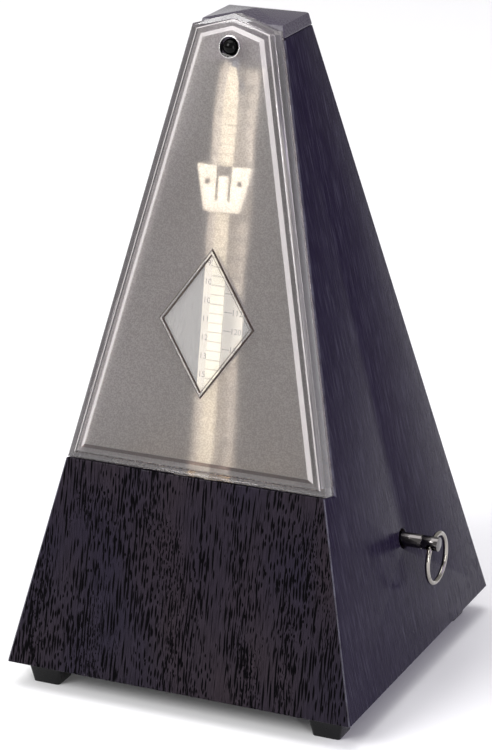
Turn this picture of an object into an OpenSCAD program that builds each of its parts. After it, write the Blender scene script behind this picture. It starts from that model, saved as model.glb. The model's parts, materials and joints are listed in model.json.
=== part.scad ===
// Pyramid metronome with a frosted front door, a wound movement and a leaning pendulum.
// The origin is on the floor under the middle of the whole object, key included, so the case's own
// middle lies a little to the -X side of it. The front faces -Y, the key is on +X.

/* [Case] */
// Width and depth of the case at its bottom edge
case_w = 122; // [110:1:150]
// Height of the case from its bottom edge to the eaves
case_h = 208; // [200:1:255]
// Width and depth of the case at the eaves
eaves_w = 28; // [26:0.5:36]
// Wall thickness of the case
case_wall = 3; // [2:0.1:4]
// Height of the roof's apex above the eaves
roof_rise = 2.3; // [1:0.1:4]
// Height of the cap's band below the eaves
cap_band = 3.9; // [3:0.1:6]
// Thickness of the base plate
base_t = 3; // [2:0.1:4]

/* [Feet] */
// Height of a foot
foot_h = 8.3; // [5:0.1:12]
// Width of a foot at the top
foot_top = 12.4; // [10:0.1:16]
// Width of a foot on the floor
foot_bottom = 9.4; // [7:0.1:10]
// Distance from a foot's centre to the case's edge
foot_inset = 11; // [10:0.1:16]

/* [Door] */
// Height of the door's bottom edge above the case's bottom edge
door_h = 69.1; // [68:0.1:80]
// Depth of the door from its panel to its back
door_t = 7.7; // [6.4:0.1:9.3]
// Height of the door's gable above the eaves
gable_rise = 4.2; // [3:0.1:6]
// Thickness of the door's skirt
skirt_t = 2.2; // [1.6:0.1:3]
// Thickness of the raised panel
panel_t = 2.5; // [2:0.1:2.7]
// Width of the clear flange around the panel
flange_w = 3.7; // [3:0.1:6]
// Step between the panel and the flange
flange_drop = 1.2; // [0.6:0.1:1.4]
// Width of the bevel around the panel
bevel_w = 1.3; // [0.6:0.1:2]
// Width of the lozenge window
window_w = 33; // [24:0.5:36]
// Height of the lozenge window along the door
window_l = 48; // [36:0.5:56]
// Height of the window's centre above the case's bottom edge
window_h = 117; // [105:1:125]
// Distance of the latch below the eaves
latch_drop = 6; // [5:0.5:9]
// Diameter of the latch stud's ball
ball_d = 5.6; // [4:0.1:6]

/* [Pendulum] */
// Height of the pendulum's pivot above the case's bottom edge
pivot_h = 54; // [52:0.5:56]
// Distance of the rod's tip below the eaves
tip_drop = 13.5; // [13:0.5:28]
// Width of the rod
rod_w = 4.8; // [3.5:0.1:6]
// Thickness of the rod
rod_t = 0.9; // [0.6:0.1:1.2]
// Distance of the rod's middle behind the door's back, level with the door's bottom edge
rod_low_gap = 1.8; // [1.4:0.1:3]
// Depth of the rod behind the case's front, at its tip
rod_tip_depth = 5; // [5:0.1:6]
// Spacing of the notches on the rod
notch_pitch = 3; // [2:0.1:5]
// Width of the sliding weight at its top
weight_top = 19; // [14:0.5:20]
// Width of the sliding weight at its bottom
weight_bottom = 12.8; // [10:0.1:14]
// Height of the sliding weight along the rod
weight_l = 14.5; // [10:0.1:18]
// Thickness of the sliding weight
weight_t = 3.4; // [3:0.1:3.6]
// Height of the weight's bottom edge above the case's bottom edge
weight_h = 150; // [90:1:165]
// Diameter of the counterweight
counter_d = 26; // [20:0.5:27]
// Thickness of the counterweight
counter_t = 9; // [6:0.5:10]

/* [Scale] */
// Width of the scale plate
scale_w = 14.4; // [10:0.1:18]
// Thickness of the scale plate
scale_t = 0.8; // [0.5:0.1:1.2]
// Distance from the rod's middle plane to the scale's face
scale_gap = 4.6; // [3.5:0.1:6]

/* [Movement] */
// Distance of the left plate from the middle
left_x = 33; // [31:0.5:35]
// Distance of the right plate from the middle
right_x = 28; // [27:0.5:29]
// Thickness of the movement's plates
plate_t = 1.4; // [1:0.1:2]
// Height of the movement's top plate above the case's bottom edge
deck_h = 65; // [63:0.5:66]
// Diameter of the mainspring barrel
barrel_d = 36; // [32:0.5:38]
// Length of the mainspring barrel
barrel_l = 15; // [12:0.5:16]
// Radius of the train's running arbors
arbor_r = 1.2; // [1:0.1:1.4]
// Radial clearance of a running arbor in its hole
running_gap = 0.05; // [0.02:0.01:0.09]
// Teeth on the great wheel
great_teeth = 72; // [60:12:72]
// Module of the great wheel and the third pinion
great_module = 0.6; // [0.55:0.01:0.6]
// Teeth on the third wheel
third_teeth = 60; // [50:10:60]
// Module of the third wheel and the escape pinion
third_module = 0.5; // [0.45:0.01:0.5]
// Teeth on the crown escape wheel
crown_teeth = 15; // [11:2:19]
// Diameter of the crown escape wheel
crown_d = 16; // [14:0.5:17]

/* [Key] */
// Distance of the key's axis behind the middle of the case
key_y = 3.9; // [2:0.1:6]
// Height of the key's axis above the case's bottom edge
key_h = 38; // [37:0.5:40]
// Diameter of the key's shank
shank_d = 4.7; // [3.9:0.1:5.7]
// Length of the shank outside the case
shank_out = 12.4; // [10:0.1:16]
// Radius of the key ring, to the middle of its wire
ring_r = 8.2; // [7:0.1:10]
// Diameter of the key ring's wire
wire_d = 1.7; // [1.2:0.1:1.8]
// Angle that the key has stopped at, as the tilt of its cross hole
key_stop = 33; // [0:1:60]

/* [Hidden] */

$fn = 64;
// Overrun of a cutting shape past the face that it cuts
over = 1;
// Gap between two pieces that are fixed side by side
seat_gap = 0.1;
// Gap between the door and the case
door_gap = 0.2;
// Thickness of the slices that a tapered block is blended from
slice = 0.01;

case_slope = (case_w - eaves_w) / 2 / case_h;
case_lean = atan(case_slope);
wall_x = case_wall / cos(case_lean);
// Half the case's width at a height above its bottom edge
function half_at(h) = case_w / 2 - case_slope * h;

// The door's outline, in face coordinates: x across, y up the slope from the case's bottom edge
door_v0 = door_h / cos(case_lean);
door_v1 = case_h / cos(case_lean);
door_v2 = (case_h + gable_rise) / cos(case_lean);
edge_tan = sin(case_lean);
edge_len = sqrt(1 + edge_tan * edge_tan);
gable_tan = (door_v2 - door_v1) / (eaves_w / 2);
gable_len = sqrt(1 + gable_tan * gable_tan);
function side_x(v, d) = case_w / 2 - v * edge_tan - d * edge_len;
function shoulder_x(d) =
    (case_w / 2 - d * edge_len - (door_v2 - d * gable_len) * edge_tan) / (1 - gable_tan * edge_tan);
function peak_v(d) = door_v2 - d * gable_len;
function shoulder_v(d) = peak_v(d) - gable_tan * shoulder_x(d);
function door_outline(d) = [
    [-side_x(door_v0 + d, d), door_v0 + d],
    [side_x(door_v0 + d, d), door_v0 + d],
    [shoulder_x(d), shoulder_v(d)],
    [0, peak_v(d)],
    [-shoulder_x(d), shoulder_v(d)]
];
tab_w = 4.3;
tab_x = 5.2;
tab_t = 1.2;
tab_drop = 3;
tab_depth = 0.9;
slot_gap = 0.25;
window_t = 1.2;
window_gap = 0.1;
window_v = window_h / cos(case_lean);

// Latch: a ball on a stem that the ring on the door snaps over
latch_v = (case_h - latch_drop) / cos(case_lean);
latch_bore = ball_d / 2 + 0.4;
ring_out = 4;
ring_lip = 0.9;
stem_r = 1.6;

// Pendulum: the rod leans in the YZ plane and swings about the Y axis
tip_h = case_h - tip_drop;
rod_low_y = -half_at(door_h) + door_t + rod_low_gap;
rod_tip_y = -half_at(tip_h) + rod_tip_depth;
rod_slope = (rod_tip_y - rod_low_y) / (tip_h - door_h);
rod_lean = atan(rod_slope);
function rod_y(h) = rod_low_y + rod_slope * (h - door_h);
counter_h = pivot_h - 36;
rod_bottom_h = counter_h - counter_d / 2;
function rod_v(h) = (h - pivot_h) / cos(rod_lean);
collar_r = 3.4;
collar_l = 5;
pendulum_r = 1.5;
pallet_l = 3;

// Train: winding, third and escape arbors run along X, at these places in the YZ plane
winding_at = [key_y, key_h];
escape_at = [-20, pivot_h];
pinion_teeth = 12;
leaf_teeth = 10;
winding_third = (great_teeth + pinion_teeth) * great_module / 2;
third_escape = (third_teeth + leaf_teeth) * third_module / 2;
winding_escape = norm(escape_at - winding_at);
along = (winding_third * winding_third - third_escape * third_escape
    + winding_escape * winding_escape) / (2 * winding_escape);
aside = sqrt(winding_third * winding_third - along * along);
train_dir = (escape_at - winding_at) / winding_escape;
third_at = winding_at + along * train_dir + aside * [train_dir[1], -train_dir[0]] * -1;
great_x = 5;
great_t = 2.2;
pinion_x = great_x - 1;
pinion_l = great_t + 2;
third_x = -19;
third_t = 1.6;
leaf_x = third_x - 1;
leaf_l = third_t + 2;
crown_tip_x = -2.6;
crown_l = 5;
crown_wall = 1.2;
cock_x = -13;
barrel_x = great_x + great_t + 0.2;
barrel_wall = 1.2;
ratchet_x = right_x + plate_t + 1.2;
ratchet_t = 1.8;
ratchet_r = 8;
ratchet_teeth = 18;
winding_r = 2;
key_end_x = half_at(key_h) + shank_out;
middle_x = (key_end_x - case_w / 2) / 2;
bush_spigot_r = shank_d / 2 + 0.85;
bush_r = bush_spigot_r + 1;
bush_flange = 2;
bush_sunk = 1;
ring_x = key_end_x - 2.5;
ring_sag = ring_r - sqrt(ring_r * ring_r - shank_d * shank_d / 4);
ring_hole_gap = ring_sag + 0.25;
plate_front = rod_y(deck_h + plate_t) + rod_t / 2 + 0.95;
plate_back = 30;
pillar_r = 2.2;
pillars = [[plate_front + 5, 12], [24, 12], [plate_front + 5, 61], [24, 58]];
screw_r = 1.4;
screw_head_r = 2.4;
screw_head_t = 1.4;
flange_out = 8;
frame_screw_y = [-28, 22];
fixed_gap = 0.02;
plug_l = 9;
clip_gap = 0.5;
clip_t = 0.6;
clip_w = 3;
clip_prong_x = rod_w / 2 + clip_t;
clip_prong_l = 0.7;
clip_prong_h = 3;
clip_low_h = tip_h - 7;
clip_high_h = case_h - cap_band - plug_l + 2;
scale_low_h = deck_h + plate_t;
scale_top_h = case_h - cap_band - plug_l - 0.6;
scale_foot = 6;
cock_low_h = pivot_h - 4;
front_cock_y = plate_front + 0.8;
back_cock_y = -9.6;
cock_half = 4;
pallet_t = 0.8;

foot_at = case_w / 2 - foot_inset;
ring_tube_r = 3.6;
ball_depth = 1.2;
window_rim = 0.5;
window_border = 1.6;
window_sunk = 0.6;
notch_depth = 0.2;
notch_w = 0.5;
weight_chamfer = 1.2;
slide_gap = 0.08;
tongue_w = 4.4;
slit_w = 0.9;
slit_l = 11;
tongue_drop = 3.2;
dimple_x = 5.5;
dimple_v = 9.3;
dimple_d = 1.8;
dimple_depth = 0.5;
pallet_at = crown_d / 2 - crown_wall / 2;
pallet_w = 2;
cock_foot = 6;
gear_pressure = 28;
gear_backlash = 0.12;
gear_root = 1;
gear_tip = 0.8;
flank_steps = 4;
spring_turns = 6;
spring_steps = 20;
spring_t = 0.5;
key_inner_x = half_at(key_h) - 10;
arbor_end_r = 1.5;
arbor_end_l = 6;
seam_w = 0.4;
seam_depth = 0.3;
ratchet_depth = 1.1;
click_at = [12.7, 4.6];
click_nose_angle = 58;
click_clear = 0.25;
click_hub_r = 2.2;
click_stud_r = 1.1;
spring_foot_at = [2.5, 7];
spring_foot_r = 1;
spring_l = 11.5;
spring_lean = 11;
crown_tooth = 2.4;
crown_clear = 0.3;
crown_gap_share = 0.74;

// Moves children from the case's own middle to the middle of the whole object
module in_frame() {
    translate([-middle_x, 0, 0])
        children();
}

// Places children on the leaning front: x across, y up the slope, z outwards
module on_face(depth = 0) {
    translate([0, -case_w / 2, foot_h])
        rotate([90 - case_lean, 0, 0])
            translate([0, 0, -depth])
                children();
}

// Places children on the pendulum: z up the rod from the pivot, y across its thickness
module on_rod() {
    translate([0, rod_y(pivot_h), foot_h + pivot_h])
        rotate([-rod_lean, 0, 0])
            children();
}

// Places children on an arbor of the train, with z along +X from the given x
module on_arbor(at, x) {
    translate([x, at[0], foot_h + at[1]])
        rotate([90, 0, 90])
            children();
}

// Block with four sloping sides, between two heights, with its sides moved in
module pyramid(h0, h1, inset) {
    a0 = half_at(h0) - inset;
    a1 = half_at(h1) - inset;
    intersection() {
        rotate([90, 0, 0])
            linear_extrude(height = case_w + over, center = true)
                polygon([[-a0, h0], [a0, h0], [a1, h1], [-a1, h1]]);
        rotate([90, 0, 90])
            linear_extrude(height = case_w + over, center = true)
                polygon([[-a0, h0], [a0, h0], [a1, h1], [-a1, h1]]);
    }
}

// Square block that tapers from one width to another
module tapered_block(w0, w1, h) {
    rotate([90, 0, 0])
        intersection() {
            linear_extrude(height = max(w0, w1), center = true)
                polygon([[-w0 / 2, 0], [w0 / 2, 0], [w1 / 2, h], [-w1 / 2, h]]);
            rotate([0, 90, 0])
                linear_extrude(height = max(w0, w1), center = true)
                    polygon([[-w0 / 2, 0], [w0 / 2, 0], [w1 / 2, h], [-w1 / 2, h]]);
        }
}

// Space that the door fills in front of the tower
module door_space() {
    on_face(door_t + door_gap)
        translate([-case_w, door_v0 - door_gap, 0])
            cube([2 * case_w, case_h, door_t + door_gap + over]);
}

module case_shell() {
    color([0.16, 0.14, 0.19]) in_frame()
        difference() {
            translate([0, 0, foot_h])
                pyramid(0, case_h - cap_band - seat_gap, 0);
            translate([0, 0, foot_h])
                pyramid(-over, case_h, wall_x);
            door_space();
            for (side = [-1, 1])
                on_face(case_wall + over)
                    translate([side * tab_x - tab_w / 2 - slot_gap, door_v0 - tab_drop - slot_gap, 0])
                        cube([
                            tab_w + 2 * slot_gap, tab_drop + slot_gap + over,
                            case_wall + over - tab_depth + slot_gap
                        ]);
            on_arbor(winding_at, 0)
                cylinder(r = bush_spigot_r + fixed_gap, h = case_w);
        }
}

module clip_strip(gap) {
    on_rod()
        translate([-clip_w / 2 - gap, rod_t / 2 + clip_gap + clip_prong_l - gap, rod_v(clip_low_h)])
            cube([clip_w + 2 * gap, clip_t + 2 * gap, rod_v(clip_high_h) - rod_v(clip_low_h) + gap]);
}

module roof_cap() {
    band_h = case_h - cap_band;
    half = half_at(case_h);
    front_y = -half + (door_t + door_gap) / cos(case_lean);
    middle_y = (front_y + half) / 2;
    peak_h = case_h + roof_rise;
    color([0.22, 0.2, 0.26]) in_frame()
        difference() {
            translate([0, 0, foot_h])
                union() {
                    pyramid(band_h, case_h, 0);
                    intersection() {
                        rotate([90, 0, 0])
                            linear_extrude(height = case_w, center = true)
                                polygon([[-half, case_h], [half, case_h], [0, peak_h]]);
                        rotate([90, 0, 90])
                            linear_extrude(height = case_w, center = true)
                                polygon([[front_y, case_h], [half, case_h], [middle_y, peak_h]]);
                    }
                    pyramid(band_h - plug_l, band_h, wall_x + seat_gap);
                }
            door_space();
            on_face(door_t + 2 * plug_l)
                translate([0, latch_v, 0])
                    cylinder(r = stem_r + fixed_gap, h = 2 * plug_l);
            clip_strip(fixed_gap);
        }
}

module base_plate() {
    color([0.1, 0.1, 0.1]) in_frame()
        translate([0, 0, foot_h])
            difference() {
                pyramid(0, base_t, wall_x + seat_gap);
                for (x = [-1, 1], y = [-1, 1])
                    translate([x * foot_at, y * foot_at, -over])
                        cylinder(r = screw_r + fixed_gap, h = base_t + 2 * over);
                frame_screw_places()
                    translate([0, 0, -over])
                        cylinder(r = screw_r + fixed_gap, h = base_t + 2 * over);
            }
}

// Places children at the four screws that hold the movement, on the case's bottom edge plane
module frame_screw_places() {
    for (y = frame_screw_y) {
        translate([-left_x - flange_out / 2, y, 0])
            children();
        translate([right_x + plate_t + flange_out / 2, y, 0])
            children();
    }
}

module foot(side_x, side_y) {
    color([0.05, 0.05, 0.06]) in_frame()
        translate([side_x * foot_at, side_y * foot_at, 0])
            difference() {
                tapered_block(foot_bottom, foot_top, foot_h);
                translate([0, 0, -over])
                    cylinder(r = screw_r + fixed_gap, h = foot_h + 2 * over);
                translate([0, 0, -over])
                    cylinder(r = screw_head_r + seat_gap, h = foot_h / 2 + over);
            }
}

module foot_front_left() {
    foot(-1, -1);
}

module foot_front_right() {
    foot(1, -1);
}

module foot_back_left() {
    foot(-1, 1);
}

module foot_back_right() {
    foot(1, 1);
}

// Screw with its head down and its shank up, from the head's inner face
module screw(length) {
    translate([0, 0, -screw_head_t])
        cylinder(r = screw_head_r, h = screw_head_t);
    cylinder(r = screw_r, h = length);
}

module foot_screws() {
    color("silver") in_frame()
        for (x = [-1, 1], y = [-1, 1])
            translate([x * foot_at, y * foot_at, foot_h / 2])
                screw(foot_h / 2 + base_t - 0.5);
}

// Slab with the door's outline moved in, between two depths behind the panel
module door_slab(inset, front, back) {
    on_face(back)
        linear_extrude(height = back - front)
            polygon(door_outline(inset));
}

// Lozenge standing on its point, centred on the window
module lozenge(grow, front, back) {
    on_face(back)
        translate([0, window_v, 0])
            linear_extrude(height = back - front)
                polygon([
                    [0, -window_l / 2 - grow], [window_w / 2 + grow, 0],
                    [0, window_l / 2 + grow], [-window_w / 2 - grow, 0]
                ]);
}

module front_door() {
    color([0.62, 0.6, 0.58, 0.7]) in_frame()
        difference() {
            union() {
                door_slab(0, flange_drop, door_t);
                hull() {
                    door_slab(flange_w, flange_drop, flange_drop + slice);
                    door_slab(flange_w + bevel_w, 0, slice);
                }
                for (side = [-1, 1])
                    on_face(tab_depth + tab_t)
                        translate([side * tab_x - tab_w / 2, door_v0 - tab_drop, 0])
                            cube([tab_w, tab_drop + over, tab_t]);
            }
            door_slab(skirt_t, panel_t, door_t + over);
            lozenge(window_gap, -over, window_t);
            on_face(door_t)
                translate([0, latch_v, 0])
                    cylinder(r = ring_tube_r + fixed_gap, h = 2 * door_t);
        }
}

module door_window() {
    color([0.8, 0.8, 0.8, 0.5]) in_frame()
        difference() {
            lozenge(0, -window_rim, window_t);
            lozenge(-window_border, -window_rim - over, -window_rim + window_sunk);
        }
}

module latch_ring() {
    color([0.85, 0.85, 0.87]) in_frame()
        on_face(panel_t)
            translate([0, latch_v, 0])
                difference() {
                    union() {
                        cylinder(r = ring_tube_r, h = panel_t);
                        translate([0, 0, panel_t])
                            cylinder(r = ring_out, h = ring_lip);
                    }
                    translate([0, 0, -over])
                        cylinder(r = latch_bore, h = panel_t + ring_lip + 2 * over);
                }
}

module latch_stud() {
    color([0.03, 0.03, 0.03]) in_frame()
        on_face(door_t + plug_l)
            translate([0, latch_v, 0]) {
                cylinder(r = stem_r, h = door_t + plug_l - ball_depth);
                translate([0, 0, door_t + plug_l - ball_depth])
                    sphere(d = ball_d);
            }
}

module rest_clip() {
    color([0.7, 0.7, 0.72]) in_frame() {
        clip_strip(0);
        on_rod()
            for (side = [-1, 1])
                translate([side * clip_prong_x - clip_t / 2, rod_t / 2 + clip_gap, rod_v(clip_low_h)])
                    cube([clip_t, clip_prong_l + clip_t, clip_prong_h]);
        on_rod()
            translate([-clip_prong_x - clip_t / 2, rod_t / 2 + clip_gap + clip_prong_l, rod_v(clip_low_h)])
                cube([2 * clip_prong_x + clip_t, clip_t, clip_prong_h]);
    }
}

// Height above the pivot, along the rod, of a level line at a depth behind the rod
function level_v(h, y) = rod_v(h) + y * tan(rod_lean);

module scale_plate() {
    foot_y = rod_y(scale_low_h) + scale_gap / cos(rod_lean);
    scale_back = scale_gap + scale_t;
    heel = [scale_gap, level_v(scale_low_h, scale_gap)];
    foot_end = heel + scale_foot * [cos(rod_lean), sin(rod_lean)];
    color([0.88, 0.84, 0.74]) in_frame()
        difference() {
            on_rod()
                rotate([90, 0, 90])
                    linear_extrude(height = scale_w, center = true)
                        polygon([
                            heel, foot_end, foot_end + scale_t * [-sin(rod_lean), cos(rod_lean)],
                            [scale_back, level_v(scale_low_h + scale_t, scale_back)],
                            [scale_back, rod_v(scale_top_h)], [scale_gap, rod_v(scale_top_h)]
                        ]);
            translate([0, foot_y + scale_foot / 2 + scale_t, foot_h + scale_low_h - over])
                cylinder(r = screw_r + fixed_gap, h = scale_t + 2 * over);
        }
}

// Flat rod with a pointed tip, as wide as its slot when gap is more than 0
module rod_blank(gap) {
    on_rod()
        rotate([90, 0, 0])
            linear_extrude(height = rod_t + 2 * gap, center = true)
                polygon([
                    [-rod_w / 2 - gap, rod_v(rod_bottom_h)], [rod_w / 2 + gap, rod_v(rod_bottom_h)],
                    [rod_w / 2 + gap, rod_v(tip_h) - rod_w], [rod_w / 4, rod_v(tip_h)],
                    [-rod_w / 4, rod_v(tip_h)], [-rod_w / 2 - gap, rod_v(tip_h) - rod_w]
                ]);
}

module pendulum_rod() {
    notch_low = rod_v(door_h + 10);
    notch_high = rod_v(tip_h) - 8;
    color([0.84, 0.78, 0.66]) in_frame()
        difference() {
            rod_blank(0);
            on_rod()
                for (z = [notch_low : notch_pitch : notch_high])
                    translate([-rod_w, -rod_t / 2 - over, z])
                        cube([2 * rod_w, over + notch_depth, notch_w]);
        }
}

module sliding_weight() {
    weight_v = rod_v(weight_h);
    color([0.9, 0.88, 0.8]) in_frame()
        difference() {
            on_rod()
                translate([0, 0, weight_v])
                    rotate([90, 0, 0])
                        linear_extrude(height = weight_t, center = true)
                            polygon([
                                [-weight_bottom / 2 + weight_chamfer, 0],
                                [weight_bottom / 2 - weight_chamfer, 0],
                                [weight_bottom / 2, weight_chamfer], [weight_top / 2, weight_l],
                                [-weight_top / 2, weight_l], [-weight_bottom / 2, weight_chamfer]
                            ]);
            on_rod()
                translate([-rod_w / 2 - slide_gap, -rod_t / 2 - slide_gap, weight_v - over])
                    cube([rod_w + 2 * slide_gap, rod_t + 2 * slide_gap, weight_l + 2 * over]);
            on_rod()
                for (side = [-1, 1])
                    translate([side * tongue_w / 2 - slit_w / 2, -weight_t, weight_v + weight_l - slit_l])
                        cube([slit_w, weight_t, slit_l + over]);
            on_rod()
                translate([-tongue_w / 2, -weight_t, weight_v + weight_l - tongue_drop])
                    cube([tongue_w, weight_t, tongue_drop + over]);
            on_rod()
                for (side = [-1, 1])
                    translate([side * dimple_x, -weight_t / 2 - over, weight_v + dimple_v])
                        rotate([-90, 0, 0])
                            cylinder(d = dimple_d, h = over + dimple_depth);
        }
}

module counterweight() {
    color([0.5, 0.5, 0.52]) in_frame()
        difference() {
            on_rod()
                translate([0, 0, rod_v(counter_h)])
                    rotate([90, 0, 0])
                        cylinder(d = counter_d, h = counter_t, center = true);
            on_rod()
                translate([-rod_w / 2 - fixed_gap, -rod_t / 2 - fixed_gap, rod_v(counter_h) - counter_d])
                    cube([rod_w + 2 * fixed_gap, rod_t + 2 * fixed_gap, 2 * counter_d]);
        }
}

module pendulum_arbor() {
    rod_here = rod_y(pivot_h);
    color("gold") in_frame()
        translate([0, 0, foot_h + pivot_h])
            difference() {
                union() {
                    translate([0, back_cock_y + plate_t + over, 0])
                        rotate([90, 0, 0])
                            cylinder(r = pendulum_r, h = back_cock_y + plate_t + over - rod_here);
                    translate([0, rod_here + collar_l / 2, 0])
                        rotate([90, 0, 0])
                            cylinder(r = collar_r, h = collar_l);
                    for (side = [-1, 1])
                        translate([0, escape_at[0] + side * pallet_at - pallet_w / 2, 0])
                            rotate([0, -90 - side * 45, 0])
                                translate([0, 0, -pallet_t / 2])
                                    cube([pallet_l, pallet_w, pallet_t]);
                }
                translate([0, 0, -foot_h - pivot_h])
                    rod_blank(fixed_gap);
            }
}

// Side plate of the movement, with its flange on the base plate
module side_plate(x, out) {
    difference() {
        union() {
            translate([x, plate_front, foot_h + base_t])
                cube([plate_t, plate_back - plate_front, deck_h - base_t]);
            translate([out > 0 ? x + plate_t : x - flange_out, plate_front, foot_h + base_t])
                cube([flange_out, plate_back - plate_front, plate_t]);
        }
        on_arbor(winding_at, x - over)
            cylinder(r = winding_r + running_gap, h = plate_t + 2 * over);
        on_arbor(third_at, x - over)
            cylinder(r = arbor_r + running_gap, h = plate_t + 2 * over);
        for (at = pillars)
            on_arbor(at, x - over)
                cylinder(r = screw_r + fixed_gap, h = plate_t + 2 * over);
        translate([0, 0, foot_h])
            frame_screw_places()
                cylinder(r = screw_r + fixed_gap, h = base_t + 2 * plate_t);
    }
}

module left_plate() {
    color([0.8, 0.68, 0.38]) in_frame()
        difference() {
            side_plate(-left_x, -1);
            on_arbor(escape_at, -left_x - over)
                cylinder(r = arbor_r + running_gap, h = plate_t + 2 * over);
        }
}

module right_plate() {
    color([0.8, 0.68, 0.38]) in_frame()
        difference() {
            side_plate(right_x, 1);
            on_arbor(winding_at + click_at, right_x - over)
                cylinder(r = click_stud_r + fixed_gap, h = plate_t + 2 * over);
        }
}

module top_plate() {
    foot_y = rod_y(scale_low_h) + scale_gap / cos(rod_lean);
    color([0.8, 0.68, 0.38]) in_frame()
        difference() {
            translate([-left_x, plate_front, foot_h + deck_h])
                cube([left_x + right_x + plate_t, plate_back - plate_front, plate_t]);
            translate([0, foot_y + scale_foot / 2 + scale_t, foot_h + deck_h - over])
                cylinder(r = screw_r + fixed_gap, h = plate_t + 2 * over);
        }
}

module frame_pillars() {
    color([0.75, 0.75, 0.77]) in_frame()
        for (at = pillars)
            on_arbor(at, -left_x + plate_t)
                cylinder(r = pillar_r, h = left_x + right_x - plate_t);
}

module frame_screws() {
    foot_y = rod_y(scale_low_h) + scale_gap / cos(rod_lean);
    color("silver") in_frame() {
        translate([0, 0, foot_h + base_t + plate_t])
            frame_screw_places()
                mirror([0, 0, 1])
                    screw(plate_t + base_t - 0.5);
        translate([0, foot_y + scale_foot / 2 + scale_t, foot_h + scale_low_h + scale_t])
            mirror([0, 0, 1])
                screw(scale_t + plate_t);
        for (at = pillars) {
            on_arbor(at, -left_x)
                screw(plate_t);
            on_arbor(at, right_x + plate_t)
                mirror([0, 0, 1])
                    screw(plate_t);
        }
    }
}

// Bracket below the top plate that carries one end of the pendulum's arbor
module pendulum_cock(y) {
    color([0.8, 0.68, 0.38]) in_frame()
        difference() {
            union() {
                translate([-cock_half, y, foot_h + cock_low_h])
                    cube([2 * cock_half, plate_t, deck_h - cock_low_h]);
                translate([-cock_half, y, foot_h + deck_h - plate_t])
                    cube([2 * cock_half, cock_foot, plate_t]);
            }
            translate([0, y - over, foot_h + pivot_h])
                rotate([-90, 0, 0])
                    cylinder(r = pendulum_r + running_gap, h = plate_t + 2 * over);
        }
}

module front_cock() {
    pendulum_cock(front_cock_y);
}

module back_cock() {
    pendulum_cock(back_cock_y);
}

module escape_cock() {
    color([0.8, 0.68, 0.38]) in_frame()
        difference() {
            union() {
                translate([cock_x, escape_at[0] - cock_half, foot_h + cock_low_h])
                    cube([plate_t, 2 * cock_half, deck_h - cock_low_h]);
                translate([cock_x - cock_foot, escape_at[0] - cock_half, foot_h + deck_h - plate_t])
                    cube([cock_foot, 2 * cock_half, plate_t]);
            }
            on_arbor(escape_at, cock_x - over)
                cylinder(r = arbor_r + running_gap, h = plate_t + 2 * over);
        }
}

// Involute gear. phase is the direction of the first tooth's middle
function inv(a) = tan(a) * 180 / PI - a;
function tooth_half(r, pitch_r, teeth) =
    (90 - gear_backlash / 2 / pitch_r * teeth * 180 / PI / 2) / teeth + inv(gear_pressure)
    - inv(acos(min(1, pitch_r * cos(gear_pressure) / r)));
function gear_points(teeth, m, phase) = [
    for (i = [0 : teeth - 1], side = [-1, 1], step = [0 : flank_steps])
        let (
            pitch_r = teeth * m / 2,
            root_r = pitch_r - gear_root * m,
            tip_r = pitch_r + gear_tip * m,
            share = (side < 0 ? step : flank_steps - step) / flank_steps,
            r = root_r + (tip_r - root_r) * share,
            angle = phase + i * 360 / teeth + side * tooth_half(r, pitch_r, teeth)
        )
        r * [cos(angle), sin(angle)]
];

module gear(teeth, m, phase, thickness, bore_r) {
    difference() {
        linear_extrude(height = thickness)
            polygon(gear_points(teeth, m, phase));
        translate([0, 0, -over])
            cylinder(r = bore_r, h = thickness + 2 * over);
    }
}

function heading(from, to) = atan2(to[1] - from[1], to[0] - from[0]);
great_heading = heading(winding_at, third_at);
third_heading = heading(third_at, escape_at);

module mainspring_barrel() {
    color([0.82, 0.7, 0.4]) in_frame()
        on_arbor(winding_at, barrel_x)
            difference() {
                cylinder(d = barrel_d, h = barrel_l);
                translate([0, 0, barrel_wall])
                    cylinder(d = barrel_d - 2 * barrel_wall, h = barrel_l);
                translate([0, 0, -over])
                    cylinder(r = winding_r + running_gap, h = barrel_l);
            }
}

module barrel_cover() {
    color([0.85, 0.74, 0.45]) in_frame()
        on_arbor(winding_at, barrel_x + barrel_l - barrel_wall)
            difference() {
                cylinder(r = barrel_d / 2 - barrel_wall - fixed_gap, h = barrel_wall);
                translate([0, 0, -over])
                    cylinder(r = winding_r + running_gap, h = barrel_wall + 2 * over);
            }
}

module mainspring() {
    inner_r = winding_r + 1.4;
    outer_r = barrel_d / 2 - barrel_wall - 0.4;
    steps = spring_turns * spring_steps;
    function coil(i, r_off) =
        let (r = inner_r + (outer_r - spring_t - inner_r) * i / steps + r_off)
        r * [cos(i * 360 / spring_steps), sin(i * 360 / spring_steps)];
    color([0.35, 0.38, 0.45]) in_frame()
        on_arbor(winding_at, barrel_x + barrel_wall + 0.6)
            linear_extrude(height = barrel_l - 2 * barrel_wall - 1.2)
                polygon(concat(
                    [for (i = [0 : steps]) coil(i, 0)],
                    [for (i = [steps : -1 : 0]) coil(i, spring_t)]
                ));
}

module great_wheel() {
    color([0.85, 0.72, 0.38]) in_frame()
        on_arbor(winding_at, great_x)
            gear(great_teeth, great_module, great_heading, great_t, winding_r + running_gap);
}

module winding_arbor() {
    color([0.75, 0.75, 0.78]) in_frame() {
        on_arbor(winding_at, -left_x - over)
            cylinder(r = winding_r, h = left_x + over + key_inner_x);
        on_arbor(winding_at, key_inner_x)
            cylinder(r = arbor_end_r, h = arbor_end_l);
    }
}

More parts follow.
